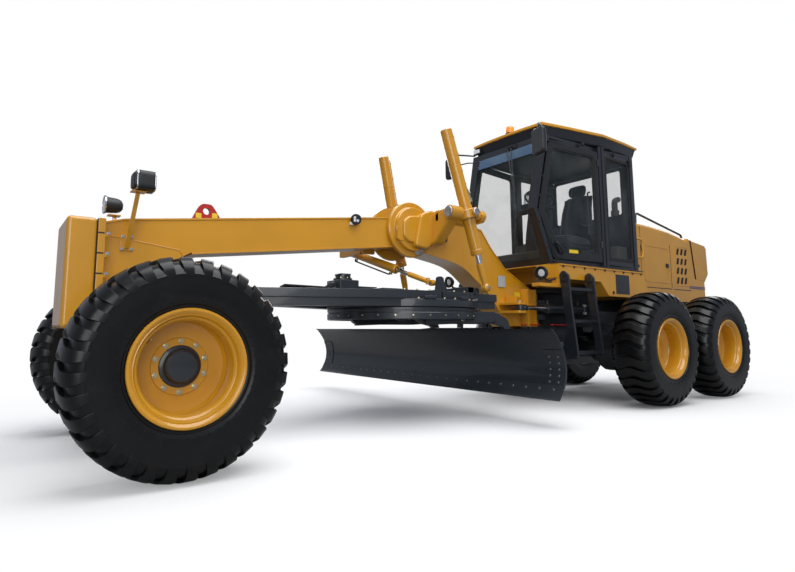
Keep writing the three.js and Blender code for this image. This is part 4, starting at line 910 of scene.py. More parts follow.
        bolts = Shape()
        circle, face, studs = (sizes.stud_circle * 1000, -8, sizes.studs) if front else (140, -42, 12)
        one = bolts.bolt((0, face, circle), (0, 1, 0), 13, 14)
        one += bolts.bar((0, face, circle), (0, face + 22, circle), 7, 10)
        bolts.around(one, studs, "Y")
        stem = bolts.pipe([(0, 0, 276), (0, 42, 272), (0, 78, 258)], 5, 8)
        bolts.move(stem, Matrix.Rotation(math.radians(50), 4, "Y"))
        bolts.move(bolts.bm.verts[:], place)
        bolts.piece(f"rim_{name}_bolts", f"wheel_{name}", "zinc")

        if front:
            cap = Shape()
            cap.turned([(0, 52), (60, 52), (88, 50), (96, 44), (100, 30), (104, 8), (112, 2), (126, -2),
                        (130, -8), (130, -20), (0, -20)], (0, 0, 0), (0, 1, 0), 64)
            cap.move(cap.bm.verts[:], place)
            cap.piece(f"rim_{name}_cap", f"wheel_{name}", "slate")


# ---- front frame ---------------------------------------------------------------------------------
class GRADER_OT_front(bpy.types.Operator):
    """Builds the nose, the beam with its gooseneck, the headlamps and the lifting eye"""
    bl_idname = "grader.front"
    bl_label = "Front frame"

    # the beam and gooseneck in side view: [x, z] from the nose's top round to its underside
    TOP = ((350, 1690), (200, 1730), (-2356, 2049), (-2900, 2110), (-3300, 2108), (-3646, 2052))
    BACK = ((-3646, 2052), (-3810, 1850), (-4042, 1620), (-4500, 1386))
    ARCH = ((-4118, 940), (-3983, 1056), (-3787, 1286), (-3560, 1461), (-3298, 1620), (-2900, 1700),
            (-2454, 1763))
    NOSE_BOLTS = (1582, 1436, 1291, 1146, 1010)
    SQUARE_LAMP = (330, 1985)                  # its middle: [y, z]
    CLAMP_Z = ((1082, 1112), (1178, 1208))     # the two plates that hold a turn cylinder's rod eye
    FLANGE = 16                                # thickness of the beam's upper and lower flanges

    def execute(self, context):
        self.nose()
        self.beam()
        self.hitch()
        self.lamps()
        self.eye()
        return {"FINISHED"}

    def nose(self):
        shape = Shape()
        shape.brick((397, -290, 906), (592, 290, 1690), 30, 5)
        shape.plate(rounded([(-250, 930), (250, 930), (250, 1660), (-250, 1660)], 30), "X", 590, 591.8, 0.6)
        shape.piece("nose_weight", FRONT, "yellow", "front_weight")
        rim = Shape()
        rim.brick((345, -290, 906), (394, 290, 1690), 5)
        for z in self.NOSE_BOLTS:
            rim.both(rim.brick((322, 262, z - 26), (350, 289.5, z - 8), 2))
        rim.piece("nose_rim", FRONT, "yellow", "front_frame")
        # painted shade: the black strips beside the bolts stand for the shade in the slots there, and the
        # thin black sheet between the rim and the weight stands for the shade in the gap between them
        dark = Shape()
        bolts = Shape()
        for z in self.NOSE_BOLTS:
            dark.both(dark.brick((352, 287, z - 5), (397, 290.6, z + 7), 1))
            bolts.both(bolts.bolt((326, 283, z), (0, 1, 0), 10, 14))
        dark.brick((393.5, -286, 910), (397.5, 286, 1686), 0.5)
        dark.piece("nose_slot_shade", FRONT, "black")
        bolts.piece("nose_bolts", FRONT, "steel")

    def beam(self):
        shape = Shape()
        arch = smooth_line(self.ARCH, 6)
        outline = [*self.TOP, *self.BACK[1:], (-4500, 929), *arch, (-311, 1513), (-200, 1450), (350, 1430)]
        shape.plate(outline, "Y", -138, 138, 3)
        for line, inward in (([*self.TOP, *self.BACK[1:]], self.FLANGE),
                             ([(-4118, 940), *arch[1:], (-311, 1513)], -self.FLANGE)):
            shape.plate([*line, *self.beside(line, inward)], "Y", -145, 145, 3)
        cheek = shape.plate(rounded([(355, 905), (-170, 905), (-262, 1440), (-205, 1520), (355, 1592)], 20),
                            "Y", 146, 168, 4)
        shape.both(cheek)
        shape.brick((-170, -170, 905), (350, 170, 960), 6)
        for x in (-170, 120):
            shape.plate([(-90, 645), (90, 645), (150, 910), (-150, 910)], "X", x, x + 50, 6)
            shape.ringed(92, 46, (1, 0, 0), (x - 6, 0, 700), 0, 62, 4)
        shape.brick((305, -90, 1020), (350, 90, 1200), 6)
        for low, high in ((1160, 1185), (1035, 1060)):
            shape.plate(rounded([(185, -34), (310, -60), (310, 60), (185, 34)], 14), "Z", low, high, 3)
        shape.bar((230, 0, 1030), (230, 0, 1190), 30, 32, bevel=3)
        seam = Shape()
        for side in (-1, 1):
            seam.pipe([(360, side * 169, 1594), (-205, side * 169, 1521)], 3, 6)
            seam.pipe([(-205, side * 169, 1520), (-262, side * 169, 1440), (-172, side * 169, 915)], 3, 6)
        seam.piece("frame_welds", FRONT, "yellow")
        shape.piece("frame_beam", FRONT, "yellow", "front_frame")

    @staticmethod
    def beside(line, distance):
        """A line's points moved square to it by a distance, from its end back to its start."""
        line = [Vector(p) for p in line]
        moved = []
        for before, point, after in zip([line[0], *line], line, [*line[1:], line[-1]]):
            along = (after - before).normalized()
            moved.append(tuple(point + Vector((-along.y, along.x)) * distance))
        return moved[::-1]

    def hitch(self):
        shape = Shape()
        shape.brick((-4542, -195, 929), (-4494, 195, 1386), 6)
        ears = [(-4500, -150), (-4500, 150), (-4660, 112), (-4742, 56), (-4742, -56), (-4660, -112)]
        for low, high in ((940, 1010), (1270, 1340)):
            shape.pierced(ears, (HITCH_X, 0), 46, "Z", low, high, 5)
            shape.ringed(92, 46, (0, 0, 1), (HITCH_X, 0, low - 6), 0, high - low + 12, 4)
        plan = rounded([(-4330, 130), (-4330, 200), (-4040, 440), (-3930, 430), (-3920, 370), (-3920, 130)],
                       26)
        for low, high in self.CLAMP_Z:
            shape.both(shape.plate(plan, "Z", low, high, 4))
        shape.both(shape.brick((-4330, 140, 935), (-4302, 250, 1384), 5))
        shape.both(shape.brick((-4050, 140, 1208), (-4026, 300, 1290), 5))
        shape.piece("frame_hitch", FRONT, "yellow", "front_frame")
        bolts = Shape()
        for x, y, z in ((-4010, 330, 1208), (-4100, 300, 1208), (-4180, 240, 1208)):
            bolts.both(bolts.bolt((x, y, z), (0, 0, 1), 12, 12))
        for side in (-1, 1):
            bolts.bar((-3980, side * 400, 1210), (-3980, side * 400, 1222), 34, 32, bevel=3)
        bolts.piece("frame_hitch_bolts", FRONT, "zinc")
        for name, body, slot, near, far, y in (("lock_bar", FRONT, "yellow_paint", -4235, -4560, 208),
                                               ("lock_link", REAR, "dark_paint", -4660, -5150, 300)):
            bar = Shape()
            bar.plate(rounded([(far, y - 22), (near, y - 22), (near, y + 22), (far, y + 22)], 20), "Z", 945,
                      960, 3)
            bar.piece(name, body, "red", slot=slot)
        plate = Shape()
        plate.brick((-4030, 145, 1395), (-3905, 148, 1530), 1)
        plate.piece("blank_plate", FRONT, "plate")
        patch = Shape()
        patch.brick((-4290, 145, 1286), (-4190, 147, 1340), 1)
        patch.piece("blank_patch", FRONT, "patch")

    def lamps(self):
        post = Shape()
        for side, top in ((-1, (196, -320, 1830)), (1, (150, 320, 1900))):
            post.strut((182, side * 184, 1500), top, 30, 14, 2)
        post.both(post.brick((138, 168, 1482), (224, 176, 1598), 3))
        for low, high in (((100, 283, 1900), (200, 367, 1908)), ((150, -372, 1828), (246, -288, 1838))):
            post.brick(low, high, 2)
        post.piece("lamp_posts", FRONT, "yellow")
        bolts = Shape()
        for x, z in ((210, 1587), (148, 1589), (214, 1493), (146, 1495)):
            bolts.both(bolts.bolt((x, 176, z), (0, 1, 0), 9, 10))
        bolts.piece("lamp_bolts", FRONT, "steel")
        square = rounded([(242, 1911), (418, 1911), (418, 2059), (242, 2059)], 46, 6)
        body = Shape()
        body.plate(square, "X", 52, 168, 12, 3)
        body.plate(self.shrunk(square, 0.8), "X", 160, 196, 14, 3)
        body.turned([(0, 10), (30, 12), (50, 28), (60, 52), (64, 92), (66, 128), (70, 142), (74, 148),
                     (0, 148)], (124, -330, 1918), (1, 0, 0), 48)
        body.piece("lamp_bodies", FRONT, "plastic", slot="dark_paint")
        chrome = Shape()
        chrome.pierced(self.shrunk(square, 0.99), self.SQUARE_LAMP, 62, "X", 168, 178, 2)
        chrome.pierced(square, self.SQUARE_LAMP, 66, "X", 44, 54, 3)
        chrome.turned([(66, 0), (76, 0), (78, 8), (74, 12), (66, 12)], (268, -330, 1918), (1, 0, 0), 48)
        chrome.piece("lamp_bezels", FRONT, "chrome")
        glass = Shape()
        glass.turned([(0, 12), (34, 10), (60, 2), (62, -6), (0, -6)], (176, 330, 1985), (1, 0, 0), 40)
        glass.turned([(0, 12), (34, 10), (62, 2), (66, -6), (0, -6)], (46, 330, 1985), (-1, 0, 0), 40)
        glass.turned([(0, 8), (40, 6), (66, 0), (0, 0)], (274, -330, 1918), (1, 0, 0), 40)
        glass.piece("lamp_lenses", FRONT, "lamp")
        work = Shape()
        work.turned([(0, -34), (36, -34), (50, -18), (54, 4), (52, 20), (46, 24), (0, 24)],
                    (-1869, 176, 1962), (0.35, 1, -0.25), 40)
        work.strut((-1869, 150, 1925), (-1869, 176, 1962), 40, 6, 1)
        work.piece("work_lamp", FRONT, "plastic", slot="dark_paint")
        bright = Shape()
        bright.brick((-1842, 145, 1905), (-1812, 168, 1935), 3)
        for dx, dz in ((-17, 14), (17, 14), (-17, -12), (17, -12)):
            bright.turned([(0, 4), (12, 3), (14, 0), (0, 0)], (-1859 + dx, 200, 1956 + dz), (0.35, 1, -0.25),
                          16)
        bright.piece("work_lamp_lenses", FRONT, "lamp")

    def shrunk(self, outline, share):
        """An outline drawn smaller round the middle of the square lamp."""
        middle = Vector(self.SQUARE_LAMP)
        return [tuple(middle + (Vector(p) - middle) * share) for p in outline]

    def eye(self):
        eye = Shape()
        outline = rounded([(-330, 1788), (-392, 1918), (-420, 1954), (-500, 1954), (-530, 1918),
                           (-596, 1818)], 30)
        eye.pierced(outline, (-460, 1892), 30, "Y", -20, 20, 3)
        eye.piece("lifting_eye", FRONT, "red")
        patch = Shape()
        for x in (-392, -530):
            patch.brick((x - 24, 20, 1826 + (-392 - x) * 0.1), (x + 24, 21.5, 1868 + (-392 - x) * 0.1), 0.5)
        patch.piece("lifting_eye_patches", FRONT, "patch")


# ---- front axle ----------------------------------------------------------------------------------
class GRADER_OT_axle(bpy.types.Operator):
    """Builds the front axle, the leaning brackets, the knuckles and their bars"""
    bl_idname = "grader.axle"
    bl_label = "Front axle"

    def execute(self, context):
        shape = softened("front_axle", 8)
        shape.piece("axle_beam", FRONT, "slate", "front_axle")
        bolts = Shape()
        for side in (-1, 1):
            bolts.bolt_ring((side * 182, 0, 700), (side, 0, 0), 72, 6, 9, 10)
        bolts.piece("axle_bolts", FRONT, "zinc")
        for side, sign in SIDES:
            for node in (f"lean_bracket_{side}", f"knuckle_{side}"):
                softened(node, 5).piece(f"{node}_cast", node, "slate", node)
            caps = Shape()
            for z, way in ((826, 1), (514, -1)):
                caps.bar((0, sign * 860, z - way * 8), (0, sign * 860, z + way * 8), 40, 32, bevel=3)
            for way in (-1, 1):
                caps.bar((way * 130, sign * 700, 620), (way * 140, sign * 700, 620), 38, 32, bevel=3)
            caps.piece(f"kingpin_caps_{side}", f"lean_bracket_{side}", "zinc")
        softened("lean_bar", 4).piece("lean_bar_tube", "lean_bar", "slate", "lean_bar")
        softened("tie_rod", 3).piece("tie_rod_tube", "tie_rod", "slate", "tie_rod")
        return {"FINISHED"}


# ---- saddle and lift cylinders -------------------------------------------------------------------
class GRADER_OT_lift(bpy.types.Operator):
    """Builds the saddle on the beam, its arms, and the two cylinders that lift the drawbar"""
    bl_idname = "grader.lift"
    bl_label = "Saddle and lift cylinders"

    YOKE = Vector((-2960, 600, 2070))
    EYE = Vector((-3155, 650, 1321))

    def execute(self, context):
        self.saddle()
        for side, sign in SIDES:
            self.cylinder(side, sign)
        return {"FINISHED"}

    def saddle(self):
        shape = Shape()
        for sign in (1, -1):
            ring = [(0, 0), (291, 0), (291, 34), (282, 42), (238, 42), (230, 50), (228, 76), (220, 84),
                    (0, 84)]
            shape.turned(ring, (RING_X, sign * 146, 1930), (0, sign, 0), 96)
            face = rounded([(-2340, 1800), (-2340, 2010), (-2400, 2068), (-2480, 2068), (RING_X, 1990),
                            (RING_X, 1860), (-2470, 1790)], 26)
            shape.plate(face, "Y", sign * 200, sign * 238, 5)
            arm = rounded([(-2520, 1740), (-2700, 1722), (-2905, 1975), (-2905, 2130), (-2730, 2140),
                           (-2600, 2090)], 50, 6)
            shape.plate(arm, "Y", sign * 180, sign * 300, 26, 5)
            face = rounded([(-2400, 1830), (-2400, 2000), (-2470, 2060), (-2700, 2090), (-2760, 1960),
                            (-2690, 1790), (-2480, 1780)], 60, 6)
            shape.plate(face, "Y", sign * 180, sign * 262, 22, 4)
            reach = [(210, 1760), (330, 1780), (560, 2000), (640, 2012), (600, 2132), (520, 2132),
                     (420, 2128), (210, 2050)]
            shape.plate(rounded([(sign * y, z) for y, z in reach], 40, 6), "X", -2880, -2740, 22, 4)
            shape.bar((-2700, sign * 600, 2070), (-2850, sign * 600, 2070), 68, 48, bevel=4)
            shape.plate(rounded([(sign * 380, 1995), (sign * 620, 2004), (sign * 664, 2070),
                                 (sign * 620, 2134), (sign * 380, 2130)], 28, 5), "X", -3190, -3128, 9, 3)
            shape.brick((-3190, min(sign * 340, sign * 420), 1996),
                        (-2740, max(sign * 340, sign * 420), 2130), 20, 4)
        shape.piece("saddle_cast", FRONT, "yellow", "lift_saddle")
        caps = Shape()
        for sign in (1, -1):
            self.cap(caps, Vector((-2700, sign * 600, 2070)), Vector((1, 0, 0)), 58)
            caps.turned([(0, 0), (60, 0), (60, 10), (50, 16), (0, 18)], (-2642, sign * 196, 1723),
                        (0, sign, 0), 40)
            caps.bent([(-2642, sign * 200, 1723), (-2600, sign * 236, 1730), (RING_X, sign * 200, 1760)], 5,
                      8)
        caps.piece("saddle_caps", FRONT, "steel")
        lug = Shape()
        lug.plate(rounded([(-620, 1690), (-620, 1790), (-300, 1790), (-205, 1760), (-205, 1690)], 20), "X",
                  -2225, -2175, 6)
        lug.brick((-2330, -196, 1690), (-2176, -148, 1900), 10)
        lug.piece("shift_bracket", FRONT, "yellow")
        marks = Shape()
        marks.brick((-2520, 237, 1890), (-2450, 239.4, 1950), 0.5)
        marks.piece("blank_label", FRONT, "plate")
        latch = Shape()
        for z in (1868, 1888):
            latch.bent([(-2700, 190, z), (-2760, 240, z + 4), (-2830, 260, z + 6), (-2960, 250, z + 10)], 7,
                       8)
        latch.brick((-2716, 150, 1850), (-2690, 200, 1905), 4)
        latch.brick((-3090, 143, 1855), (-3020, 165, 1905), 5)
        latch.piece("saddle_lock", FRONT, "plastic", slot="dark_paint")

    @staticmethod
    def cap(shape, place, axis, radius):
        shape.turned([(0, 0), (radius, 0), (radius, 8), (radius - 4, 12), (0, 12)], place, axis, 48)
        turn = turn_to(axis)
        for index in range(6):
            angle = math.tau * index / 6
            spot = place + (turn @ Vector((math.cos(angle), math.sin(angle), 0))) * radius * 0.68 + axis * 10
            shape.bolt(spot, axis, 6, 8)

    @staticmethod
    def square_to(along, way):
        """The direction square to a line that comes nearest to a way."""
        way = Vector(way)
        return (way - along * along.dot(way)).normalized()

    def cylinder(self, side, sign):
        flip = Vector((1, sign, 1))
        yoke, eye = self.YOKE * flip, self.EYE * flip
        along = (eye - yoke).normalized()
        outward, behind = (self.square_to(along, way) for way in ((0, sign, 0), (-1, 0, 0)))
        forward = AXES["X"]
        ring = Shape()
        ring.turned([(80, -46), (112, -46), (118, -40), (118, 40), (112, 46), (80, 46)], yoke, along, 48)
        for way in (-1, 1):
            ring.bar(yoke + forward * way * 92, yoke + forward * way * 163, 44, 40, bevel=4)
            ring.bar(yoke + forward * way * 160, yoke + forward * way * 218, 28, 32, bevel=2)
            ring.bar(yoke + outward * way * 96, yoke + outward * way * 132, 48, 40, bevel=4)
        ring.piece(f"lift_yoke_{side}_ring", f"lift_yoke_{side}", "yellow", f"lift_yoke_{side}")
        caps = Shape()
        self.cap(caps, yoke + outward * 132, outward, 40)
        caps.piece(f"lift_yoke_{side}_cap", f"lift_yoke_{side}", "steel")
        barrel = Shape()
        barrel.turned([(0, -900), (56, -900), (62, -894), (62, -560), (64, -556), (64, -540), (62, -536),
                       (62, -90), (68, -80), (68, 80), (62, 90), (62, 372), (66, 378), (66, 420), (60, 430),
                       (40.5, 430), (40.5, -500), (0, -500)], yoke, along, 48)
        for way in (-1, 1):
            barrel.bar(yoke + Vector((0, way * 60, 0)), yoke + Vector((0, way * 94, 0)), 24, 24, bevel=2)
        barrel.piece(f"lift_barrel_{side}_tube", f"lift_barrel_{side}", "yellow", f"lift_barrel_{side}")

        def behind_at(distance, off):
            return yoke + along * distance + behind * off

        pipe = Shape()
        pipe.bent([behind_at(-850, 66), behind_at(-850, 84), behind_at(-300, 84), behind_at(-160, 100)], 8)
        for place in (-820, -640, -460, -320):
            pipe.bar(behind_at(place, 60), behind_at(place, 92), 11, 16, bevel=2)
        pipe.piece(f"lift_pipe_{side}", f"lift_barrel_{side}", "yellow")
        block = Shape()
        block.bar(behind_at(-260, 70), behind_at(-120, 96), 24, 24, bevel=4)
        for place, height in ((-220, 120), (-150, 118)):
            block.bar(behind_at(place, 92), behind_at(place, height), 12, 6)
        block.piece(f"lift_valve_{side}", f"lift_barrel_{side}", "zinc")
        rod = Shape()
        rod.turned([(0, -320), (31, -320), (31, 520), (33, 524), (0, 524)], yoke, along, 40)
        rod.piece(f"lift_rod_{side}_chrome", f"lift_rod_{side}", "chrome", f"lift_rod_{side}")
        end = Shape()
        total = (eye - yoke).length
        end.turned([(0, 520), (37, 520), (38.5, 528), (36, total - 110), (30, total - 60), (30, total - 30),
                    (0, total - 30)], yoke, along, 40)
        end.turned([(0, -46), (26, -44), (42, -26), (46, 0), (42, 26), (26, 44), (0, 46)], eye, outward, 40)
        end.piece(f"lift_rod_{side}_end", f"lift_rod_{side}", "yellow", f"lift_rod_{side}")
        bright = Shape()
        bright.turned([(0, 0), (22, 0), (22, 8), (10, 12), (0, 20)], eye + outward * 40, outward, 24)
        bright.bar(eye + outward * 18 + Vector((0, 0, 36)), eye + outward * 18 + Vector((0, 0, 54)), 8, 6)
        bright.piece(f"lift_rod_{side}_fitting", f"lift_rod_{side}", "zinc")


# ---- drawbar, circle and blade -------------------------------------------------------------------
class GRADER_OT_blade(bpy.types.Operator):
    """Builds the drawbar, its drive, the circle, the blade and the cylinders round them"""
    bl_idname = "grader.blade"
    bl_label = "Drawbar, circle and blade"

    MIDDLE = (RING_X, 0, 0)
    BLADE_TOP, BLADE_FOOT = 903, 262
    CORNER_STEPS = (0, 0.06, 0.14, 0.24, 0.36, 0.5, 0.68, 0.84, 1.0)   # round a sheet's lower corners
    TEETH = 84                  # round the inside of the circle
    PAD_RING = 812 * 0.962      # radius that the circle's guide pads stand on

    def execute(self, context):
        self.drawbar()
        self.drive()
        self.circle()
        self.carrier()
        self.mouldboard(context.scene.grader_blade)
        self.shift_cylinder()
        for side, sign in SIDES:
            self.turn_cylinder(side, sign)
        return {"FINISHED"}

    def drawbar(self):
        shape = Shape()
        half = [(-640, -4), (-640, 95), (-950, 150), (-2020, 640), (-2880, 685), (-3040, 575), (-3398, 575),
                (-3398, -4), (-1900, -4), (-1900, 380), (-1250, 62), (-1250, -4)]
        pocket = [(-2530, 667), (-2530, 262), (-2736, 262), (-2736, 547), (-2542, 547), (-2542, 668)]
        shape.plate([*half[:4], *pocket, *half[4:]], "Z", 1182, DECK_TOP, 5)
        shape.plate([(x, -y) for x, y in reversed(half)], "Z", 1182, DECK_TOP, 5)
        lower = [(x * 0.994 - 14, y if y < 0 else max(y - 22, -4)) for x, y in half]
        shape.both(shape.plate(lower, "Z", 1110, 1184, 3))
        for sign in (1, -1):
            tongue = [(-655, 1108), (-655, 1240), (170, 1170), (250, 1160), (270, 1140), (270, 1080),
                      (250, 1060), (170, 1040), (-120, 1080), (-400, 1087)]
            shape.plate(rounded(tongue, 16), "Y", sign * 46, sign * 85, 5)
            shape.bar((230, sign * 84, 1110), (230, sign * 96, 1110), 44, 32, bevel=3)
        shape.plate([(-660, 1108), (-660, 1242), (140, 1172), (140, 1042), (-120, 1080), (-400, 1087)], "Y",
                    -50, 50, 5)
        shape.turned([(0, 0), (786, 0), (790, 4), (790, 60), (784, 72), (0, 72)], (RING_X, 0, 1108),
                     (0, 0, 1), 128)
        ends = [(-3095, 500), (-3060, 575), (-2990, 640), (-2900, 640)]
        shape.plate([*ends, *[(x, -y) for x, y in reversed(ends)]], "Z", DECK_TOP, 1320, 5)
        shape.both(shape.plate([(575, 1200), (640, 1200), (640, 1320), (575, 1320)], "X", -2990, -2905, 5))
        for sign in (1, -1):
            shape.bar((-3085, sign * 540, 1285), (-3085, sign * 590, 1285), 40, 32, bevel=4)
        for x, y0, y1 in ((-2450, -500, 500), (-2760, -560, 560)):
            shape.brick((x - 30, y0, DECK_TOP), (x + 30, y1, 1276), 4)
        shape.brick((-2400, -300, 1258), (-2100, 300, 1300), 8)
        shape.plate([(-2596, 1255), (-2476, 1255), (-2496, 1392), (-2520, 1404), (-2552, 1404),
                     (-2576, 1392)], "Y", 620, 650, 5)
        shape.plate([(-2640, 1258), (-2596, 1258), (-2576, 1380)], "Y", 630, 642, 2)
        for angle in range(0, 360, 30):
            turn = math.radians(angle + 12)
            block = shape.brick((-60, -30, 0), (60, 18, 28), 5)
            place = Vector((RING_X + self.PAD_RING * math.cos(turn), self.PAD_RING * math.sin(turn), 1180))
            shape.move(block, Matrix.Translation(place) @ Matrix.Rotation(turn - math.pi / 2, 4, "Z"))
        shape.piece("drawbar_frame", "drawbar", "slate", "drawbar")
        bolts = Shape()
        bolts.bolt_ring((RING_X, 0, 1180), (0, 0, 1), 760, 36, 11, 14, math.radians(4))
        for x, y in ((-2120, 610), (-2260, 625), (-2400, 640), (-2700, 655), (-2840, 655), (-3120, 545),
                     (-3240, 545), (-3360, 545)):
            bolts.both(bolts.bolt((x, y, DECK_TOP), (0, 0, 1), 11, 12))
            bolts.both(bolts.bolt((x, y + 6, 1215), (0, 1, 0), 9, 14))
        bolts.piece("drawbar_bolts", "drawbar", "zinc")
        joint = softened("drawbar_ball", 3)
        joint.bar((230, 0, 1058), (230, 0, 1062), 40, 32)
        joint.piece("front_joint", "drawbar_ball", "slate", "drawbar_ball")
        pipes = Shape()
        for index, y in enumerate((-30, 0, 30)):
            z = 1290 + index * 6
            pipes.bent([(-1180, y, DECK_TOP), (-1180, y, z), (-1700, y * 3 - 120, z),
                        (-1790, y * 2 - 100, 1350)], 9, 10)
        pipes.piece("drawbar_pipes", "drawbar", "seal")

    def drive(self):
        shape = Shape()
        x, y = -1890, -90
        shape.brick((x - 110, y - 130, 1263), (x + 110, y + 130, 1384), 10, 3)
        shape.brick((x - 128, y - 148, 1263), (x + 128, y + 148, 1282), 4)
        shape.bar((x, y, 1380), (x, y, 1404), 96, 48, bevel=5)
        shape.bar((x, y, 1400), (x, y, 1444), 78, 48, bevel=7)
        shape.brick((x - 60, y - 60, 1436), (x + 60, y + 60, 1451), 4)
        shape.brick((x + 100, y - 60, 1290), (x + 150, y + 60, 1360), 8)
        shape.brick((x - 360, y - 90, 1263), (x - 110, y + 90, 1330), 8)
        shape.bar((x - 420, y, 1298), (x - 340, y, 1298), 30, 24, bevel=4)
        shape.piece("circle_motor", "drawbar", "slate", "circle_drive")
        bolts = Shape()
        for dx in (-116, 116):
            for dy in (-136, -60, 60, 136):
                bolts.bolt((x + dx, y + dy, 1282), (0, 0, 1), 8, 10)
        bolts.bolt_ring((x, y, 1404), (0, 0, 1), 86, 8, 6, 9)
        bolts.piece("circle_motor_bolts", "drawbar", "zinc")

    def circle(self):
        shape = Shape()
        profile = [(648, 991), (768, 991), (775, 998), (775, 1052), (771, 1058), (771, 1072), (775, 1078),
                   (775, 1100), (768, 1106), (700, 1106), (700, 1080), (648, 1080)]
        shape.turned(profile, self.MIDDLE, (0, 0, 1), 144)
        tooth = shape.plate([(632, -12), (650, -20), (650, 20), (632, 12)], "Z", 1000, 1072, 2)
        shape.around(shape.move(tooth, Matrix.Translation(self.MIDDLE)), self.TEETH, "Z", self.MIDDLE)
        arm = [(-2250, 1031), (-2350, 950), (-3150, 950), (-3335, 960), (-3470, 930), (-3530, 840),
               (-3540, 690), (-3455, 665), (-3430, 620), (-3460, 570), (-3510, 570), (-3600, 700),
               (-3610, 860), (-3540, 1010), (-3335, 1080), (-2250, 1080)]
        for sign in (1, -1):
            shape.plate(rounded(arm, 30, 3), "Y", sign * 530, sign * 590, 8, 3)
            shape.bar((-3480, sign * 518, 620), (-3480, sign * 612, 620), 46, 40, bevel=5)
            shape.strut((-2374, sign * 600, 968), (-3300, sign * 604, 1000), 26, 60, 4)
            rib = [(-3335, 985), (-3150, 975), (-2700, 975), (-2500, 1000)]
            shape.plate(rib + [(-2500, 990), (-3335, 968)], "Y", sign * 590, sign * 606, 2)
        shape.bar((-3480, -610, 620), (-3480, 610, 620), 29, 32)
        shape.brick((-3566, -545, 790), (-3526, 545, 860), 8)
        shape.piece("circle_ring", "circle", "slate", "circle")
        bright = Shape()
        for sign in (1, -1):
            bright.turned([(0, 0), (38, 0), (38, 8), (26, 14), (0, 14)], (-3480, sign * 611, 620),
                          (0, sign, 0), 32)
            bright.turned([(0, 0), (34, 0), (34, 10), (24, 16), (0, 18)], (-2857, sign * 606, 1010),
                          (0, sign, 0), 32)
        for angle in range(0, 360, 12):
            turn = math.radians(angle)
            bright.bolt((RING_X + 775 * math.cos(turn), 775 * math.sin(turn), 1030),
                        (math.cos(turn), math.sin(turn), 0), 6, 5)
        bright.piece("circle_bolts", "circle", "zinc")

    def carrier(self):
        shape = softened("blade_carrier", 5)
        shape.piece("carrier_frame", "blade_carrier", "slate", "blade_carrier")
        parts = Shape()
        for y in (-440, 440):
            for z in (430, 800):
                parts.brick((-3460, y - 50, z - 8), (-3360, y + 50, z + 8), 3)
            for z in (560, 690):
                parts.bolt((-3445, y, z), (-1, 0, 0), 12, 14)
        parts.bar((-3400, 540, 860), (-3400, 574, 860), 46, 32, bevel=4)
        parts.bar((-3400, -790, 860), (-3400, -806, 860), 44, 32, bevel=4)
        parts.bent([(-3380, 500, 880), (-3380, 500, 908), (-3380, -500, 908), (-3380, -760, 890)], 8, 10)
        parts.piece("carrier_details", "blade_carrier", "slate")

    def face(self, t, ahead=0.0):
        """A point on the blade's face, from its top at 0 to its foot at 1, moved ahead by a distance."""
        x = -3133 - 150 * math.sin(math.pi * t) ** 0.8 - 80 * t
        return x + ahead, self.BLADE_TOP + (self.BLADE_FOOT - self.BLADE_TOP) * t

    def band(self, shape, y0, y1, top, foot, ahead, thick, corner, rows=18):
        """A curved sheet between two heights, its foot's outer corners rounded."""
        near_end = [corner * (1 - math.cos(math.pi / 2 * share)) for share in self.CORNER_STEPS]
        between = [y0 + corner + (y1 - y0 - 2 * corner) * i / 8 for i in range(1, 8)]
        loops = []
        for y in [y0 + step for step in near_end] + between + [y1 - step for step in reversed(near_end)]:
            inward = corner - min(y - y0, y1 - y, corner)
            lift = corner - math.sqrt(max(corner ** 2 - inward ** 2, 0))
            low = foot - min(lift / (self.BLADE_TOP - self.BLADE_FOOT), foot - top - 0.02)
            line = [top + (low - top) * i / rows for i in range(rows + 1)]
            front = [self.face(t, ahead) for t in line]
            back = [self.face(t, ahead - thick) for t in reversed(line)]
            loops.append([(x, y, z) for x, z in [*front, *back]])
        shape.lofted(loops)

    def mouldboard(self, sizes):
        low, high = BLADE_SHIFT - BLADE_HALF, BLADE_SHIFT + BLADE_HALF
        shape = Shape()
        self.band(shape, low, high, 0.0, 0.93, 0, 18, 90)
        self.band(shape, low + 4, high - 4, 0.0, 0.028, 8, 12, 2, 4)
        for end in (low, high - 210):
            self.band(shape, end, end + 210, 0.30, 0.985, 8, 10, 26)
        for z, ahead in ((740, -3270), (460, -3336)):
            shape.brick((-3390, low + 60, z), (ahead, high - 60, z + 40), 5)
        for y in range(low + 300, high - 200, 420):
            shape.plate([(-3385, 500), (-3344, 500), (-3344, 700), (-3330, 742), (-3385, 742)], "Y", y,
                        y + 12, 2)
        shape.brick((-3430, 635, 830), (-3193, 675, 890), 6)
        shape.piece("blade_sheet", "mouldboard", "slate", "mouldboard")
        edge = Shape()
        for start in (low, BLADE_SHIFT):
            self.band(edge, start + 1, start + BLADE_HALF - 1, 0.80, 1.0, 12, 14, 3)
        edge.piece("cutting_edge", "mouldboard", "edge")
        rod = Shape()
        rod.bar((-3400, 650, 860), (-3400, -740, 860), 19.5, 32)
        rod.piece("blade_shift_rod", "mouldboard", "chrome")
        bolts = Shape()
        x, z = self.face(0.86, 13)
        pitch = (high - low - 200) / (sizes.edge_bolts - 1)
        for index in range(sizes.edge_bolts):
            y = low + 100 + pitch * index
            bolts.turned([(0, 5), (9, 5), (13, 3), (15, 0), (0, 0)], (x, y, z), (1, 0, 0.2), 20)
        for end in (low + 70, low + 165, high - 70, high - 165):
            for index in range(5):
                x1, z1 = self.face(0.40 + 0.09 * index, 8)
                bolts.turned([(0, 5), (8, 5), (12, 3), (14, 0), (0, 0)], (x1, end, z1), (1, 0, 0), 20)
        bolts.piece("blade_bolts", "mouldboard", "worn")

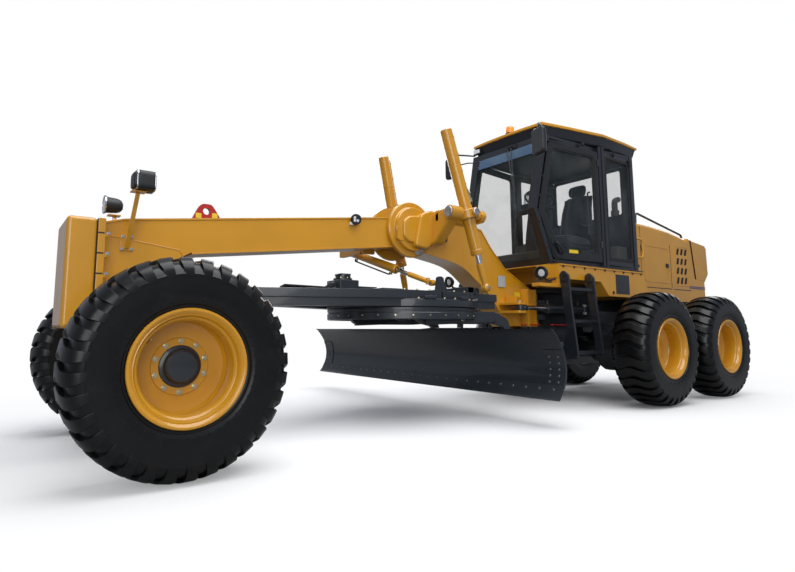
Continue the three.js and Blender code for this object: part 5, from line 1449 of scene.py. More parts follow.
    def shift_cylinder(self):
        base, eye = Vector((-2270, -570, 1765)), Vector((-2536, 522, 1350))
        along = (eye - base).normalized()
        total = (eye - base).length
        cross = (Vector((1, 0, 0)) - along * along.x).normalized()
        ports = [base + along * 130, base + along * 650]
        shape = Shape()
        shape.turned([(0, 36), (34, 36), (46, 60), (46, 100), (45, 104), (45, 690), (49, 696), (49, 724),
                      (44, 730), (29, 730), (29, 100), (0, 100)], base, along, 40)
        shape.bar(base - cross * 28, base + cross * 28, 50, 40, bevel=4)
        shape.piece("shift_barrel_tube", "shift_barrel", "yellow", "shift_barrel")
        pin = Shape()
        pin.bar(base - cross * 34, base - cross * 28, 26, 24)
        for port in ports:
            pin.bar(port - Vector((0, 0, 50)), port - Vector((0, 0, 74)), 12, 6)
        pin.piece("shift_barrel_ports", "shift_barrel", "zinc")
        pipe = Shape()
        under = (Vector((0, 0, -1)) + along * along.z).normalized()
        pipe.bent([ports[0] + under * 50, ports[0] + under * 76, ports[1] + under * 76,
                   ports[1] + under * 50], 8, 10)
        pipe.piece("shift_barrel_pipe", "shift_barrel", "seal")
        rod = Shape()
        rod.turned([(0, 410), (21, 410), (21, 900), (0, 900)], base, along, 32)
        rod.piece("shift_rod_chrome", "shift_rod", "chrome", "shift_rod")
        end = Shape()
        ridges = [(25, 896)]
        for start in range(902, 1098, 14):
            ridges += [(27, start), (27, start + 7), (24.5, start + 9), (24.5, start + 12)]
        end.turned([(0, 896), *ridges, (26, total - 44), (0, total - 30)], base, along, 32)
        end.bar(eye - cross * 27, eye + cross * 27, 30, 40, bevel=4)
        end.bar(eye - along * 52 - Vector((0, 0, 30)), eye - along * 52 + Vector((0, 0, 34)), 22, 24, bevel=4)
        end.piece("shift_rod_end", "shift_rod", "yellow")
        bright = Shape()
        for way in (1, -1):
            bright.bar(eye + cross * way * 26, eye + cross * way * 34, 17, 6)
        bright.piece("shift_rod_pin", "shift_rod", "zinc")

    def turn_cylinder(self, side, sign):
        base, eye = Vector((-5200, sign * 400, 1145)), Vector((-3980, sign * 400, 1145))
        shape = Shape()
        shape.turned([(0, 40), (40, 40), (55, 66), (55, 700), (60, 706), (60, 750), (54, 760), (28, 760),
                      (28, 360), (0, 360)], base, (1, 0, 0), 40)
        shape.bar(base - Vector((0, 0, 28)), base + Vector((0, 0, 28)), 52, 40, bevel=4)
        for x in (-5080, -4480):
            shape.bar((x, sign * 400, 1200), (x, sign * 400, 1222), 14, 16, bevel=2)
        shape.bent([(-5080, sign * 400, 1220), (-5080, sign * 400, 1242), (-4480, sign * 400, 1242),
                              (-4480, sign * 400, 1220)], 9, 10)
        shape.piece(f"turn_barrel_{side}_tube", f"turn_barrel_{side}", "slate", f"turn_barrel_{side}")
        rod = Shape()
        rod.turned([(0, 560), (26.5, 560), (26.5, 1150), (0, 1150)], base, (1, 0, 0), 32)
        rod.piece(f"turn_rod_{side}_chrome", f"turn_rod_{side}", "chrome", f"turn_rod_{side}")
        end = Shape()
        end.turned([(0, 1120), (34, 1120), (36, 1126), (36, 1170), (28, 1180), (0, 1180)], base, (1, 0, 0),
                   32)
        end.bar(eye - Vector((0, 0, 28)), eye + Vector((0, 0, 28)), 44, 40, bevel=4)
        end.piece(f"turn_rod_{side}_end", f"turn_rod_{side}", "slate")


# ---- cab -----------------------------------------------------------------------------------------
class GRADER_OT_cab(bpy.types.Operator):
    """Builds the cab's pillars, doors, roof, mirrors, wipers and lamps"""
    bl_idname = "grader.cab"
    bl_label = "Cab"

    DOOR = ((-4401, 1721), (-4171, 2300), (-4371, 3144), (-5224, 3144), (-5224, 1721))
    # the front pillar's outline, and the depths under the cab's side that it runs between
    PILLAR = (((-4330, 1650), (-4090, 2300), (-4290, 3228), (-4358, 3228), (-4150, 2300), (-4394, 1650)), 0,
              56)
    # the upright and level bars of a side: [x0, z0, x1, z1], and their depths
    BARS = (((-5236, 1650, -5352, 3226), (1, 60)), ((-5948, 1650, -6030, 3228), (0, 60)),
            ((-4340, 1650, -6028, 1716), (2, 58)), ((-4290, 3150, -6028, 3225), (2, 58)),
            ((-5350, 1700, -5950, 1770), (12, 50)), ((-5350, 3120, -5950, 3160), (12, 50)))
    QUARTER = ((-5360, 1760), (-5360, 3130), (-5940, 3130), (-5940, 1760))
    ROOF = ((-4262, 0), (-4268, 300), (-4290, 560), (-4700, 640), (-5300, 738), (-5800, 724), (-6160, 700),
            (-6160, 0))

    def execute(self, context):
        self.frame_work()
        self.front()
        self.back()
        self.roof()
        for side, sign in SIDES:
            self.door(side, sign)
            self.mirror(side, sign)
        self.wipers()
        for node in ("windshield", "rear_window", "quarter_window_left", "quarter_window_right",
                     "door_glass_left", "door_glass_right"):
            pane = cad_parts[node].material_slots[0]
            pane.link = "OBJECT"
            pane.material = FINISHES["glass"]
        return {"FINISHED"}

    @staticmethod
    def side_of(x):
        """Distance of the cab's side from the middle, at a place along the machine."""
        return 700 + min(0, -(x + 5300)) * 160 / 1300

    def follow(self, shape, verts, sign):
        """A form drawn from the cab's side face, leaned on to it, on one side of the machine."""
        for v in verts:
            v.co.y += self.side_of(v.co.x)
        if sign < 0:
            shape.over(verts)

    def frame_work(self):
        shape = Shape()
        for _, sign in SIDES:
            for outline, inner, outer in [self.PILLAR,
                                          *((box(*corners), *depths) for corners, depths in self.BARS)]:
                self.follow(shape, shape.plate(outline, "Y", -outer, -inner, 6), sign)
            rib = shape.plate([(-5290, 1660), (-5290, 3220), (-5302, 3220), (-5302, 1660)], "Y", -3, 5, 2)
            self.follow(shape, rib, sign)
            sill = shape.plate(rounded([(-4300, 1634), (-4300, 1668), (-6040, 1668), (-6040, 1634)], 8), "Y",
                               -30, 12, 4)
            self.follow(shape, sill, sign)
            step = shape.plate([(-4165, 2300), (-4200, 2150), (-4380, 1740), (-4390, 1740), (-4215, 2150),
                                (-4180, 2300)], "Y", -64, -4, 3)
            self.follow(shape, step, sign)
        shape.piece("cab_sides", REAR, "black", "cab_shell", slot="cab_black")
        bolts = Shape()
        for x, z in ((-4205, 2700), (-4150, 2460), (-4170, 2150), (-4290, 1850)):
            spot = self.side_of(x) + 2
            bolts.both(bolts.bolt((x - 40 if z > 2300 else x - 8, spot, z), (0, 1, 0), 11, 10))
        bolts.piece("cab_bolts", REAR, "black", slot="cab_black")
        seal = Shape()
        for _, sign in SIDES:
            inner = [(x + (40 if x < -5600 else -40), z + (40 if z < 2400 else -40)) for x, z in self.QUARTER]
            verts = seal.framed(rounded(self.QUARTER, 40), rounded(inner, 40), "Y", -26, -8, 3)
            self.follow(seal, verts, sign)
        seal.piece("quarter_seals", REAR, "seal")

    def front(self):
        shape = Shape()
        line = ((-4330, 1650), (-4090, 2300), (-4290, 3228))
        for sign in (1, -1):
            loops = []
            for x, z in line:
                half = self.side_of(x) - 3
                loops.append([(x - 4, sign * 474, z), (x - 1, sign * 500, z), (x - 2, sign * half, z),
                              (x - 56, sign * half, z), (x - 56, sign * 474, z)])
            shape.lofted(loops, 4)
        for (x0, z0), (x1, z1) in (((-4331, 1652), (-4297, 1738)), ((-4272, 3134), (-4291, 3226))):
            shape.plate([(x0, z0), (x1, z1), (x1 - 56, z1), (x0 - 56, z0)], "Y", -520, 520, 5)
        shape.brick((-4352, -545, 1634), (-4318, 545, 1666), 4)
        shape.piece("cab_front", REAR, "black", "cab_shell", slot="cab_black")
        seal = Shape()
        for sign in (1, -1):
            seal.pipe([(-4305, sign * 472, 1738), (-4094, sign * 472, 2300), (-4276, sign * 472, 3136)], 8, 8)
        seal.pipe([(-4305, -472, 1738), (-4305, 472, 1738)], 8, 8)
        seal.pipe([(-4276, -472, 3136), (-4276, 472, 3136)], 8, 8)
        seal.piece("windshield_seal", REAR, "seal")
        strip = Shape()
        low, high = Vector((-4244, 0, 3010)), Vector((-4273, 0, 3140))
        strip.plate([(low.x + 6, low.z), (high.x + 6, high.z), (high.x + 4, high.z), (low.x + 4, low.z)], "Y",
                    -440, 440, 0.4)
        strip.piece("sun_strip", REAR, "strip")

    def back(self):
        shape = Shape()
        for low, high in (((-6030, -698, 1652), (-5972, 698, 2418)),
                          ((-6030, -698, 3122), (-5972, 698, 3226)), ((-6030, 562, 2410), (-5972, 698, 3130)),
                          ((-6030, -698, 2410), (-5972, -562, 3130))):
            shape.brick(low, high, 6)
        for z in (1800, 1960, 2120, 2280):
            shape.brick((-6034, -520, z), (-6026, 520, z + 50), 3)
        shape.piece("cab_back", REAR, "black", "cab_shell", slot="cab_black")
        seal = Shape()
        window = [(-560, 2420), (560, 2420), (560, 3120), (-560, 3120)]
        inner = [(-520, 2460), (520, 2460), (520, 3080), (-520, 3080)]
        seal.framed(rounded(window, 40), rounded(inner, 40), "X", -6034, -6008, 3)
        seal.piece("rear_window_seal", REAR, "seal")
        floor = Shape()
        floor.brick((-5990, -630, 1660), (-4370, 630, 1701), 6)
        floor.brick((-5980, -600, 3180), (-4400, 600, 3200), 6)
        floor.piece("cab_floor", REAR, "plastic")

    def roof(self):
        whole = [*self.ROOF, *[(x, -y) for x, y in reversed(self.ROOF[1:-1])]]
        middle = Vector((-5210, 0))

        def loop(share, z):
            return [(*(middle + (Vector(p) - middle) * share), z) for p in whole]

        band = Shape()
        band.lofted([loop(0.925, 3229), loop(0.945, 3240), loop(0.978, 3346), loop(0.965, 3356)])
        band.piece("roof_band", REAR, "black", "cab_roof", slot="cab_black")
        roof = Shape()
        roof.lofted([loop(0.985, 3344), loop(0.998, 3348), loop(1.0, 3356), loop(1.0, 3374),
                     loop(0.990, 3384), loop(0.93, 3400), loop(0.80, 3413), loop(0.55, 3421),
                     loop(0.25, 3424)])
        roof.piece("roof_cap", REAR, "yellow", "cab_roof")
        lights = Shape()
        for y in (-500, 500):
            lights.brick((-4298, y - 52, 3262), (-4268, y + 52, 3316), 8)
        lights.piece("roof_lenses", REAR, "lamp")
        mounts = Shape()
        for y in (-500, 500):
            mounts.brick((-4320, y - 60, 3254), (-4280, y + 60, 3324), 6)
        mounts.bar((-4378, 0, 3396), (-4378, 0, 3424), 60, 40, bevel=4)
        for side in (-1, 1):
            spot = self.side_of(-4950)
            mounts.brick((-4975, side * (spot + 4) - 12, 3186), (-4925, side * (spot + 4) + 12, 3222), 3)
            mounts.brick((-5600, side * 696 - 14, 3150), (-5560, side * 696 + 14, 3196), 4)
            mounts.brick((-5960, side * 708 - 10, 3080), (-5920, side * 708 + 10, 3160), 4)
        mounts.piece("roof_mounts", REAR, "plastic")
        beacon = Shape()
        beacon.turned([(54, 0), (56, 6), (56, 56), (50, 74), (34, 86), (0, 90), (0, 0)], (-4378, 0, 3423),
                      (0, 0, 1), 48)
        beacon.piece("beacon", REAR, "amber")

    def door(self, side, sign):
        inner = [(-4505, 1791), (-4252, 2300), (-4430, 3074), (-5154, 3074), (-5154, 1791)]
        shape = Shape()
        self.follow(shape, shape.framed(rounded(self.DOOR, 24, 3), rounded(inner, 50, 3), "Y", -44, -3, 5),
                    sign)
        panel = shape.plate(rounded([(-4420, 1735), (-4330, 1980), (-4380, 1995), (-4470, 1960),
                                     (-4560, 1780), (-4560, 1735)], 24), "Y", -40, 3, 6)
        self.follow(shape, panel, sign)
        for z in (1900, 2950):
            shape.bar((-5217, sign * 690, z), (-5217, sign * 690, z + 90), 12, 24, bevel=2)
        shape.piece(f"door_frame_{side}", f"cab_door_{side}", "door", f"cab_door_{side}")
        seal = Shape()
        outer = [(-4497, 1783), (-4244, 2300), (-4424, 3082), (-5162, 3082), (-5162, 1783)]
        hole = [(-4523, 1809), (-4275, 2300), (-4446, 3056), (-5136, 3056), (-5136, 1809)]
        self.follow(seal, seal.framed(rounded(outer, 50, 3), rounded(hole, 50, 3), "Y", -36, -8, 3), sign)
        seal.piece(f"door_seal_{side}", f"cab_door_{side}", "seal")
        handle = Shape()
        grip = handle.bent([(-4418, 8, 1905), (-4418, 36, 1905), (-4500, 40, 1800), (-4500, 8, 1790)], 11, 12)
        self.follow(handle, grip, sign)
        plate = handle.plate(rounded([(-4395, 1950), (-4450, 1950), (-4545, 1770), (-4490, 1770)], 20), "Y",
                             2, 10, 3)
        self.follow(handle, plate, sign)
        bar = handle.bent([(-5120, -60, 2080), (-5120, -90, 2080), (-5120, -90, 2620), (-5120, -60, 2620)],
                          10, 12)
        self.follow(handle, bar, sign)
        handle.piece(f"door_handle_{side}", f"cab_door_{side}", "plastic")
        if sign > 0:
            patch = Shape()
            self.follow(patch, patch.plate([(-4660, 1775), (-4810, 1775), (-4810, 1850), (-4660, 1850)], "Y",
                                           -16, -14.6, 0.3), sign)
            patch.piece("door_patch", "cab_door_left", "patch")

    def mirror(self, side, sign):
        place, wide, tall = ((Vector((-3990, 735, 3028)), 1.1, 0.92) if sign > 0
                             else (Vector((-4150, -905, 3122)), 0.55, 0.86))
        shape = Shape()
        loops = []
        for depth, size in ((-32, 0.80), (-28, 0.93), (-14, 1.0), (10, 1.0), (24, 0.94), (30, 0.86)):
            corner = rounded([(-92, -168), (92, -168), (92, 168), (-92, 168)], 46, 5)
            loops.append([(depth, y * size * wide, z * size * tall) for y, z in corner])
        verts = shape.lofted(loops)
        facing = Matrix.Translation(place) @ Matrix.Rotation(math.radians(-14 * sign), 4, "Z")
        shape.move(verts, facing)
        shape.piece(f"mirror_{side}", REAR, "plastic")
        arm = Shape()
        arm.bent([(-4310, sign * 556, 3250), (-4240, sign * 620, 3262), place + Vector((0, 0, 214)),
                            place + Vector((0, 0, 150))], 11, 12)
        arm.bent([(-4300, sign * 556, 3150), (-4220, sign * 600, 3150), place + Vector((-34, 0, 40))], 8, 10)
        arm.brick((-4330, sign * 560 - 20, 3090), (-4290, sign * 560 + 14, 3216), 6)
        arm.piece(f"mirror_arm_{side}", REAR, "black")
        glass = Shape()
        y, z = 80 * wide, 152 * tall
        face = glass.plate(rounded([(-y, -z), (y, -z), (y, z), (-y, z)], 36, 5), "X", -36, -33, 1)
        glass.move(face, facing)
        glass.piece(f"mirror_glass_{side}", REAR, "chrome")

    def wipers(self):
        shape = Shape()
        for y, tilt in ((120, 0.16), (60, 0.24)):
            top = Vector((-4262, y, 3180))
            foot = Vector((-4166, y + 700 * tilt, 2560))
            shape.pipe([top + Vector((20, 0, 0)), top * 0.5 + foot * 0.5 + Vector((26, 0, 0)),
                        foot + Vector((24, 0, 0))], 6, 8)
            shape.bar(top + Vector((-10, 0, 0)), top + Vector((34, 0, 0)), 14, 24, bevel=2)
            shape.strut(foot + Vector((16, -14, 260)), foot + Vector((34, 36, -330)), 12, 14, 2)
        shape.brick((-4290, 20, 3150), (-4258, 180, 3212), 6)
        shape.bent([(-4330, -560, 2420), (-4180, -600, 2440), (-4150, -640, 2200), (-4290, -620, 2000)], 8, 8)
        shape.piece("wipers", REAR, "plastic")


# ---- inside the cab ------------------------------------------------------------------------------
class GRADER_OT_inside(bpy.types.Operator):
    """Builds the driver's seat, the steering console, the levers and the linings"""
    bl_idname = "grader.inside"
    bl_label = "Inside the cab"

    FILL = 0.7

    def cushion(self, name, loops, *replaced):
        """A padded form through cross sections, crowned and smoothed."""
        shape = Shape()
        shape.lofted(loops)
        made = shape.piece(name, REAR, "cloth", *replaced)
        made.modifiers.clear()
        subdivide = made.modifiers.new("Crown", "SUBSURF")
        subdivide.levels = subdivide.render_levels = 3

    @staticmethod
    def section(x, half, low, high, crown):
        """One cross section of a cushion, a little fuller in the middle than at its seams."""
        return [(x, -half, low + 14), (x, -half * 0.86, low), (x, 0, low - 4), (x, half * 0.86, low),
                (x, half, low + 14), (x, half, high - 22), (x, half * 0.84, high + crown * 0.2),
                (x, half * 0.55, high - 6), (x, half * 0.4, high + crown), (x, 0, high + crown * 0.7),
                (x, -half * 0.4, high + crown), (x, -half * 0.55, high - 6),
                (x, -half * 0.84, high + crown * 0.2), (x, -half, high - 22)]

    def execute(self, context):
        self.chair(CAB_FLOOR)
        self.console(CAB_FLOOR)
        self.linings()
        return {"FINISHED"}

    def chair(self, floor):
        seat = [self.section(x, half, floor + 325 + low, floor + 440 + high, 14) for x, half, low,
                high in ((-5706, 200, 20, -40), (-5696, 236, 6, -14), (-5600, 246, 0, 0), (-5480, 250, 0, 2),
                         (-5350, 250, 0, 6), (-5230, 246, 2, 8), (-5188, 236, 12, 2), (-5180, 200, 26, -24))]
        self.cushion("chair_cushion", seat, "operator_seat")
        back = []
        for height, half, thick in ((0, 200, 60), (14, 232, 104), (120, 240, 122), (260, 236, 118),
                                    (400, 226, 112), (520, 206, 104), (610, 176, 92), (630, 140, 60)):
            x = -5690 - height * 0.14
            z = floor + 440 + height
            loop = self.section(0, half, 0, thick, 12)
            back.append([(x - 60 + depth, y, z + depth * 0.14) for _, y, depth in loop])
        self.cushion("chair_back", back, "operator_seat")
        head = []
        for height, half, thick in ((0, 90, 40), (10, 124, 74), (70, 134, 84), (140, 126, 76), (158, 90, 44)):
            x = -5775 - height * 0.14
            z = floor + 1075 + height
            head.append([(x - 38 + depth, y, z + depth * 0.1) for _, y,
                         depth in self.section(0, half, 0, thick, 6)])
        self.cushion("chair_headrest", head)
        base = Shape()
        base.brick((-5640, -190, floor), (-5260, 190, floor + 60), 14)
        for index in range(5):
            inset = 10 + 8 * (index % 2)
            base.brick((-5620 + inset, -176 + inset, floor + 56 + index * 44),
                       (-5280 - inset, 176 - inset, floor + 104 + index * 44), 14)
        base.brick((-5680, -220, floor + 280), (-5230, 220, floor + 326), 12)
        base.plate(rounded([(-5720, floor + 420), (-5690, floor + 430), (-5780, floor + 1060),
                            (-5830, floor + 1060)], 16), "Y", -210, 210, 12)
        for sign in (1, -1):
            base.brick((-5640, sign * 300 - 36, floor + 540), (-5330, sign * 300 + 36, floor + 590), 16)
            base.brick((-5700, sign * 300 - 22, floor + 480), (-5620, sign * 300 + 22, floor + 580), 12)
            base.bar((-5800, sign * 50, floor + 1030), (-5812, sign * 50, floor + 1100), 8, 16)
        base.piece("chair_base", REAR, "plastic", "operator_seat")

    def console(self, floor):
        column = Shape()
        column.plate(rounded([(-4880, floor), (-4690, floor), (-4700, floor + 120), (-4730, floor + 420),
                              (-4800, floor + 760), (-4900, floor + 740), (-4850, floor + 420),
                              (-4860, floor + 130)], 30), "Y", -92, 92, 18)
        column.plate(rounded([(-4905, floor + 730), (-4735, floor + 790), (-4720, floor + 850),
                              (-4790, floor + 850), (-4910, floor + 780)], 20), "Y", -160, 160, 14)
        for index in range(5):
            for sign in (1, -1):
                y = sign * (115 + index * 26)
                top = Vector((-4905 - index * 4, y * 1.06, floor + 1060 - index * 10))
                column.bar((-4860, y, floor + 780), top, 5, 10)
                column.ball(top, 15, (1, 1, 1.3), 16)
        column.brick((-4900, -260, floor + 740), (-4800, 260, floor + 792), 14)
        column.piece("steering_console", REAR, "plastic", "control_console")
        wheel = Shape()
        tilt = Vector((-0.42, 0, 1)).normalized()
        centre = Vector((-4930, 0, floor + 930))
        rim = [(190 + 15 * math.cos(a), 15 * math.sin(a)) for a in [math.tau * i / 12 for i in range(12)]]
        wheel.turned([*rim, rim[0]], centre, tilt, 64)
        wheel.turned([(0, -30), (46, -30), (52, -10), (44, 12), (0, 18)], centre, tilt, 32)
        wheel.bar(centre - tilt * 190, centre, 20, 24)
        for angle in (90, 210, 330):
            turn = turn_to(tilt) @ Vector((math.cos(math.radians(angle)), math.sin(math.radians(angle)), 0))
            wheel.strut(centre + turn * 30, centre + turn * 186, 30, 10, 3)
        wheel.piece("steering_wheel", REAR, "plastic")

    def linings(self):
        lining = Shape()
        lining.brick((-5960, -600, 1702), (-5720, 600, 1990), 18)
        lining.brick((-5700, -610, 1702), (-5120, -380, 2080), 20)
        lining.brick((-5660, -600, 2076), (-5260, -400, 2120), 14)
        lining.plate(rounded([(-4395, 1702), (-4470, 1702), (-4470, 1840), (-4350, 1840)], 14), "Y", -440,
                     440, 8)
        lining.brick((-4980, -200, 1702), (-4620, 200, 1716), 4)
        for y in (-120, 0, 120):
            lining.strut((-4700 + abs(y) * 0.2, y * 1.5, 1716), (-4600, y * 1.5, 1800), 70, 14, 4)
        lining.piece("cab_linings", REAR, "lining")


# ---- deck ----------------------------------------------------------------------------------------
class GRADER_OT_deck(bpy.types.Operator):
    """Builds the deck under the cab, its side bands, boxes, plates, lamps and ladders"""
    bl_idname = "grader.deck"
    bl_label = "Deck and ladders"

    def execute(self, context):
        shape = Shape()
        for side in (1, -1):
            shape.brick((-4330, side * 432, 1478), (-4244, side * 736, 1640), 12)
            shape.plate(rounded([(-4246, 1648), (-4246, 1500), (-4276, 1470), (-5068, 1470), (-5232, 1306),
                                 (-5262, 1300), (-6080, 1300), (-6080, 1648)], 14), "Y",
                        min(side * 716, side * 742), max(side * 716, side * 742), 5)
            shape.brick((-6080, side * 620 - 120, 1300), (-5262, side * 620 + 100, 1312), 4)
            shape.plate([(-5075, 1470), (-5240, 1305), (-5250, 1318), (-5088, 1482)], "Y", side * 620 - 118,
                        side * 620 + 118, 3)
            shape.brick((-5066, side * 620 - 118, 1470), (-4270, side * 620 + 100, 1482), 4)
            shape.brick((-6080, side * 620 - 118, 1310), (-6062, side * 620 + 118, 1640), 3)
            shape.strut((-4262, side * 738, 1632), (-6066, side * 738, 1632), 26, 16, 4)
        shape.brick((-4800, -450, 1480), (-4774, 450, 1640), 6)
        shape.brick((-6078, -720, 1636), (-4250, 720, 1648), 4)
        shape.piece("deck", REAR, "yellow", "cab_platform")
        dark = Shape()
        for side in (1, -1):
            for index in range(9):
                dark.bolt((-4330 - index * 208, side * 746, 1616), (0, side, 0), 11, 9)
            for x, z in ((-4300, 1500), (-5330, 1350), (-5990, 1350)):
                dark.bolt((x, side * 744, z), (0, side, 0), 14, 9)
            dark.brick((-6060, side * 690 - 60, 1646), (-4240, side * 690 + 60, 1658), 4)
            dark.brick((-5700, side * 742 - 5, 1338), (-5395, side * 742 + 5, 1582), 4)
        dark.piece("deck_details", REAR, "black")
        small = Shape()
        for side in (1, -1):
            small.brick((-4300, side * 690 - 60, 1366), (-3906, side * 690 + 60, 1408), 8)
            small.brick((-4270, side * 690 - 50, 1400), (-4252, side * 690 + 50, 1500), 4)
        small.piece("step_boxes", REAR, "yellow")
        lamps = Shape()
        lens = Shape()
        for side in (1, -1):
            place = Vector((-3950, side * 735, 1515))
            ahead = Vector((1, 0.12 * side, -0.12)).normalized()
            lamps.turned([(0, -62), (34, -60), (62, -34), (74, -6), (76, 18), (68, 22), (66, 6), (0, 4)],
                         place, ahead, 40)
            lamps.bent([place + Vector((-40, 0, -20)), place + Vector((-60, 0, -70)),
                        place + Vector((-140, -10 * side, -80)), (-4246, side * 690, 1470)], 13, 12)
            lens.turned([(0, 10), (26, 9), (40, 6), (40, 2), (0, 2)], place, ahead, 40)
        lamps.piece("deck_lamps", REAR, "plastic")
        lens.piece("deck_lenses", REAR, "lamp")
        self.ladders()
        return {"FINISHED"}

    def ladders(self):
        for side, sign in SIDES:
            shape = Shape()
            line = [(744, 1520), (800, 1560), (862, 1500), (880, 1200), (944, 610), (905, 590), (856, 600),
                    (786, 1200), (760, 1420)]
            line = [(sign * y, z) for y, z in line]
            for x in (-4740, -4260):
                shape.plate(rounded(line, 26), "X", x - 17, x + 17, 5)
                for z in (1500, 1440):
                    shape.bolt((x + 20, sign * 800, z), (1, 0, 0), 15, 9)
            for z, out in ((1330, 55), (970, 95), (625, 130)):
                near, far = sign * (740 + out - 34), sign * (740 + out + 62)
                shape.framed([(-4742, near), (-4258, near), (-4258, far), (-4742, far)],
                             [(-4730, near + sign * 14), (-4270, near + sign * 14), (-4270, far - sign * 14),
                              (-4730, far - sign * 14)], "Z", z, z + 34, 3)
                for index in range(8):
                    x = -4700 + index * 57
                    shape.strut((x, near, z + 22), (x, far, z + 22), 12, 20, 2)
            shape.piece(f"ladder_{side}", REAR, "black", "cab_platform")


# ---- hood ----------------------------------------------------------------------------------------
class GRADER_OT_hood(bpy.types.Operator):
    """Builds the engine's hood, its doors, vents, rails, tail and exhaust"""
    bl_idname = "grader.hood"
    bl_label = "Engine hood"

    # how far the hood's top has come down, at places along it
    SPINE = ((-6114, 0), (-6700, -8), (-7180, -34), (-7520, -78), (-7832, -124))
    TAIL = ((-7938, 1652), (-7835, 2272), (-8330, 2226), (-8376, 2186), (-8388, 1764), (-8262, 1636))

    def execute(self, context):
        self.walls()
        self.tail()
        self.trims()
        for side, sign in SIDES:
            self.door(side, sign)
        return {"FINISHED"}

    def walls(self):
        shape = Shape()
        half = [(558, 1302), (558, 2318), (552, 2352), (532, 2378), (496, 2392), (0, 2404)]
        section = [*half, *[(-y, z) for y, z in reversed(half[:-1])]]
        shape.lofted([[(x, y, z + (top if z > 2000 else 0)) for y, z in section] for x, top in self.SPINE], 8)
        shape.piece("hood", REAR, "yellow", "engine_hood")
        # painted shade: the thin black strips along the door's edges, under the door and in front of the tail
        # stand for the shade in the gaps there; the bolt is a real black bolt
        cut = Shape()
        for side in (1, -1):
            for x0, z0, x1, z1 in ((-6376, 1500, -6370, 2330), (-7190, 1500, -7184, 2140),
                                   (-7180, 1478, -6490, 1488), (-7760, 1478, -7250, 1488)):
                cut.brick((x0, side * 559 - 2, z0), (x1, side * 559 + 2, z1), 0.5)
            cut.strut((-7938, side * 560, 1664), (-7835, side * 560, 2268), 16, 4, 0.5)
            cut.bolt((-6281, side * 560, 1764), (0, side, 0), 17, 14)
        cut.piece("hood_gap_shade_and_bolts", REAR, "black")
        trim = Shape()
        for side in (1, -1):
            for low in (1518, 1540):
                trim.brick((-8236, side * 561 - 2, low), (-7715, side * 561 + 2, low + 10), 0.5)
        trim.piece("blue_lines", REAR, "blue")
        # painted shade: the dark slabs in the louvre's slots stand for the shade seen through the openings
        vent = Shape()
        for side in (1, -1):
            for row in range(4):
                for column in range(3):
                    x = -7372 - column * 118 + row * 12
                    z = 2010 - row * 146
                    slot = [(x, z), (x - 58, z), (x - 94, z + 96), (x - 36, z + 96)]
                    vent.plate(rounded(slot, 10, 3), "Y", *sorted((side * 550, side * 561)), 0.5)
        vent.piece("hood_vent_shade", REAR, "seal", slot="dark_paint")
        louvre = Shape()
        for side in (1, -1):
            louvre.framed([(-7322, 1540), (-7322, 2136), (-7716, 2136), (-7700, 1540)],
                          [(-7328, 1546), (-7328, 2130), (-7710, 2130), (-7694, 1546)], "Y",
                          *sorted((side * 556, side * 562)), 1)
        louvre.piece("vent_panels", REAR, "yellow")

    def tail(self):
        shape = Shape()
        loops = [[(x, -556, z) for x, z in self.TAIL], [(x, 556, z) for x, z in self.TAIL]]
        shape.lofted(loops, 20)
        shape.plate([(-7756, 1302), (-7756, 2290), (-7830, 2270), (-7930, 1664), (-8236, 1644),
                     (-8236, 1302)], "Y", -556, 556, 8)
        shape.piece("hood_tail", REAR, "yellow", "engine_hood")
        grille = Shape()
        for index in range(9):
            y = -400 + index * 100
            grille.strut((-8386, y, 1800), (-8378, y, 2130), 60, 10, 3)
        grille.piece("tail_grille", REAR, "black")
        lamp = Shape()
        glow = Shape()
        for side in (1, -1):
            lamp.brick((-8250, side * 470 - 54, 1480), (-8226, side * 470 + 54, 1560), 8)
            glow.brick((-8256, side * 470 - 44, 1490), (-8246, side * 470 + 44, 1550), 5)
        lamp.piece("tail_lamps", REAR, "plastic")
        glow.piece("tail_lenses", REAR, "tail_red")

    def trims(self):
        rail = Shape()
        for side in (1, -1):
            rail.bent([(-6389, side * 500, 2380), (-6389, side * 500, 2538), (-7691, side * 500, 2339),
                                 (-7691, side * 500, 2250)], 16, 12)
        rail.piece("hood_rails", REAR, "black")
        grip = Shape()
        for side in (1, -1):
            grip.pipe(smooth_line([(-6180, side * 560, 2134), (-6230, side * 606, 2134),
                                   (-6316, side * 612, 2112), (-6330, side * 612, 2020),
                                   (-6316, side * 612, 1898), (-6230, side * 606, 1872),
                                   (-6180, side * 560, 1870)], 4), 13, 12)
        grip.piece("hood_grips", REAR, "yellow")
        stack = Shape()
        stack.bar((-6480, 150, 2350), (-6480, 150, 2640), 58, 40, bevel=3)
        stack.pipe(smooth_line([(-6480, 150, 2600), (-6480, 150, 2760), (-6520, 150, 2800),
                                (-6580, 150, 2820)], 5), 42, 24)
        stack.brick((-6700, -260, 2350), (-6400, -40, 2400), 16)
        stack.turned([(0, 0), (120, 0), (124, 20), (124, 120), (110, 150), (0, 160)], (-6640, -150, 2400),
                     (0, 0, 1), 40)
        stack.piece("exhaust", REAR, "iron")

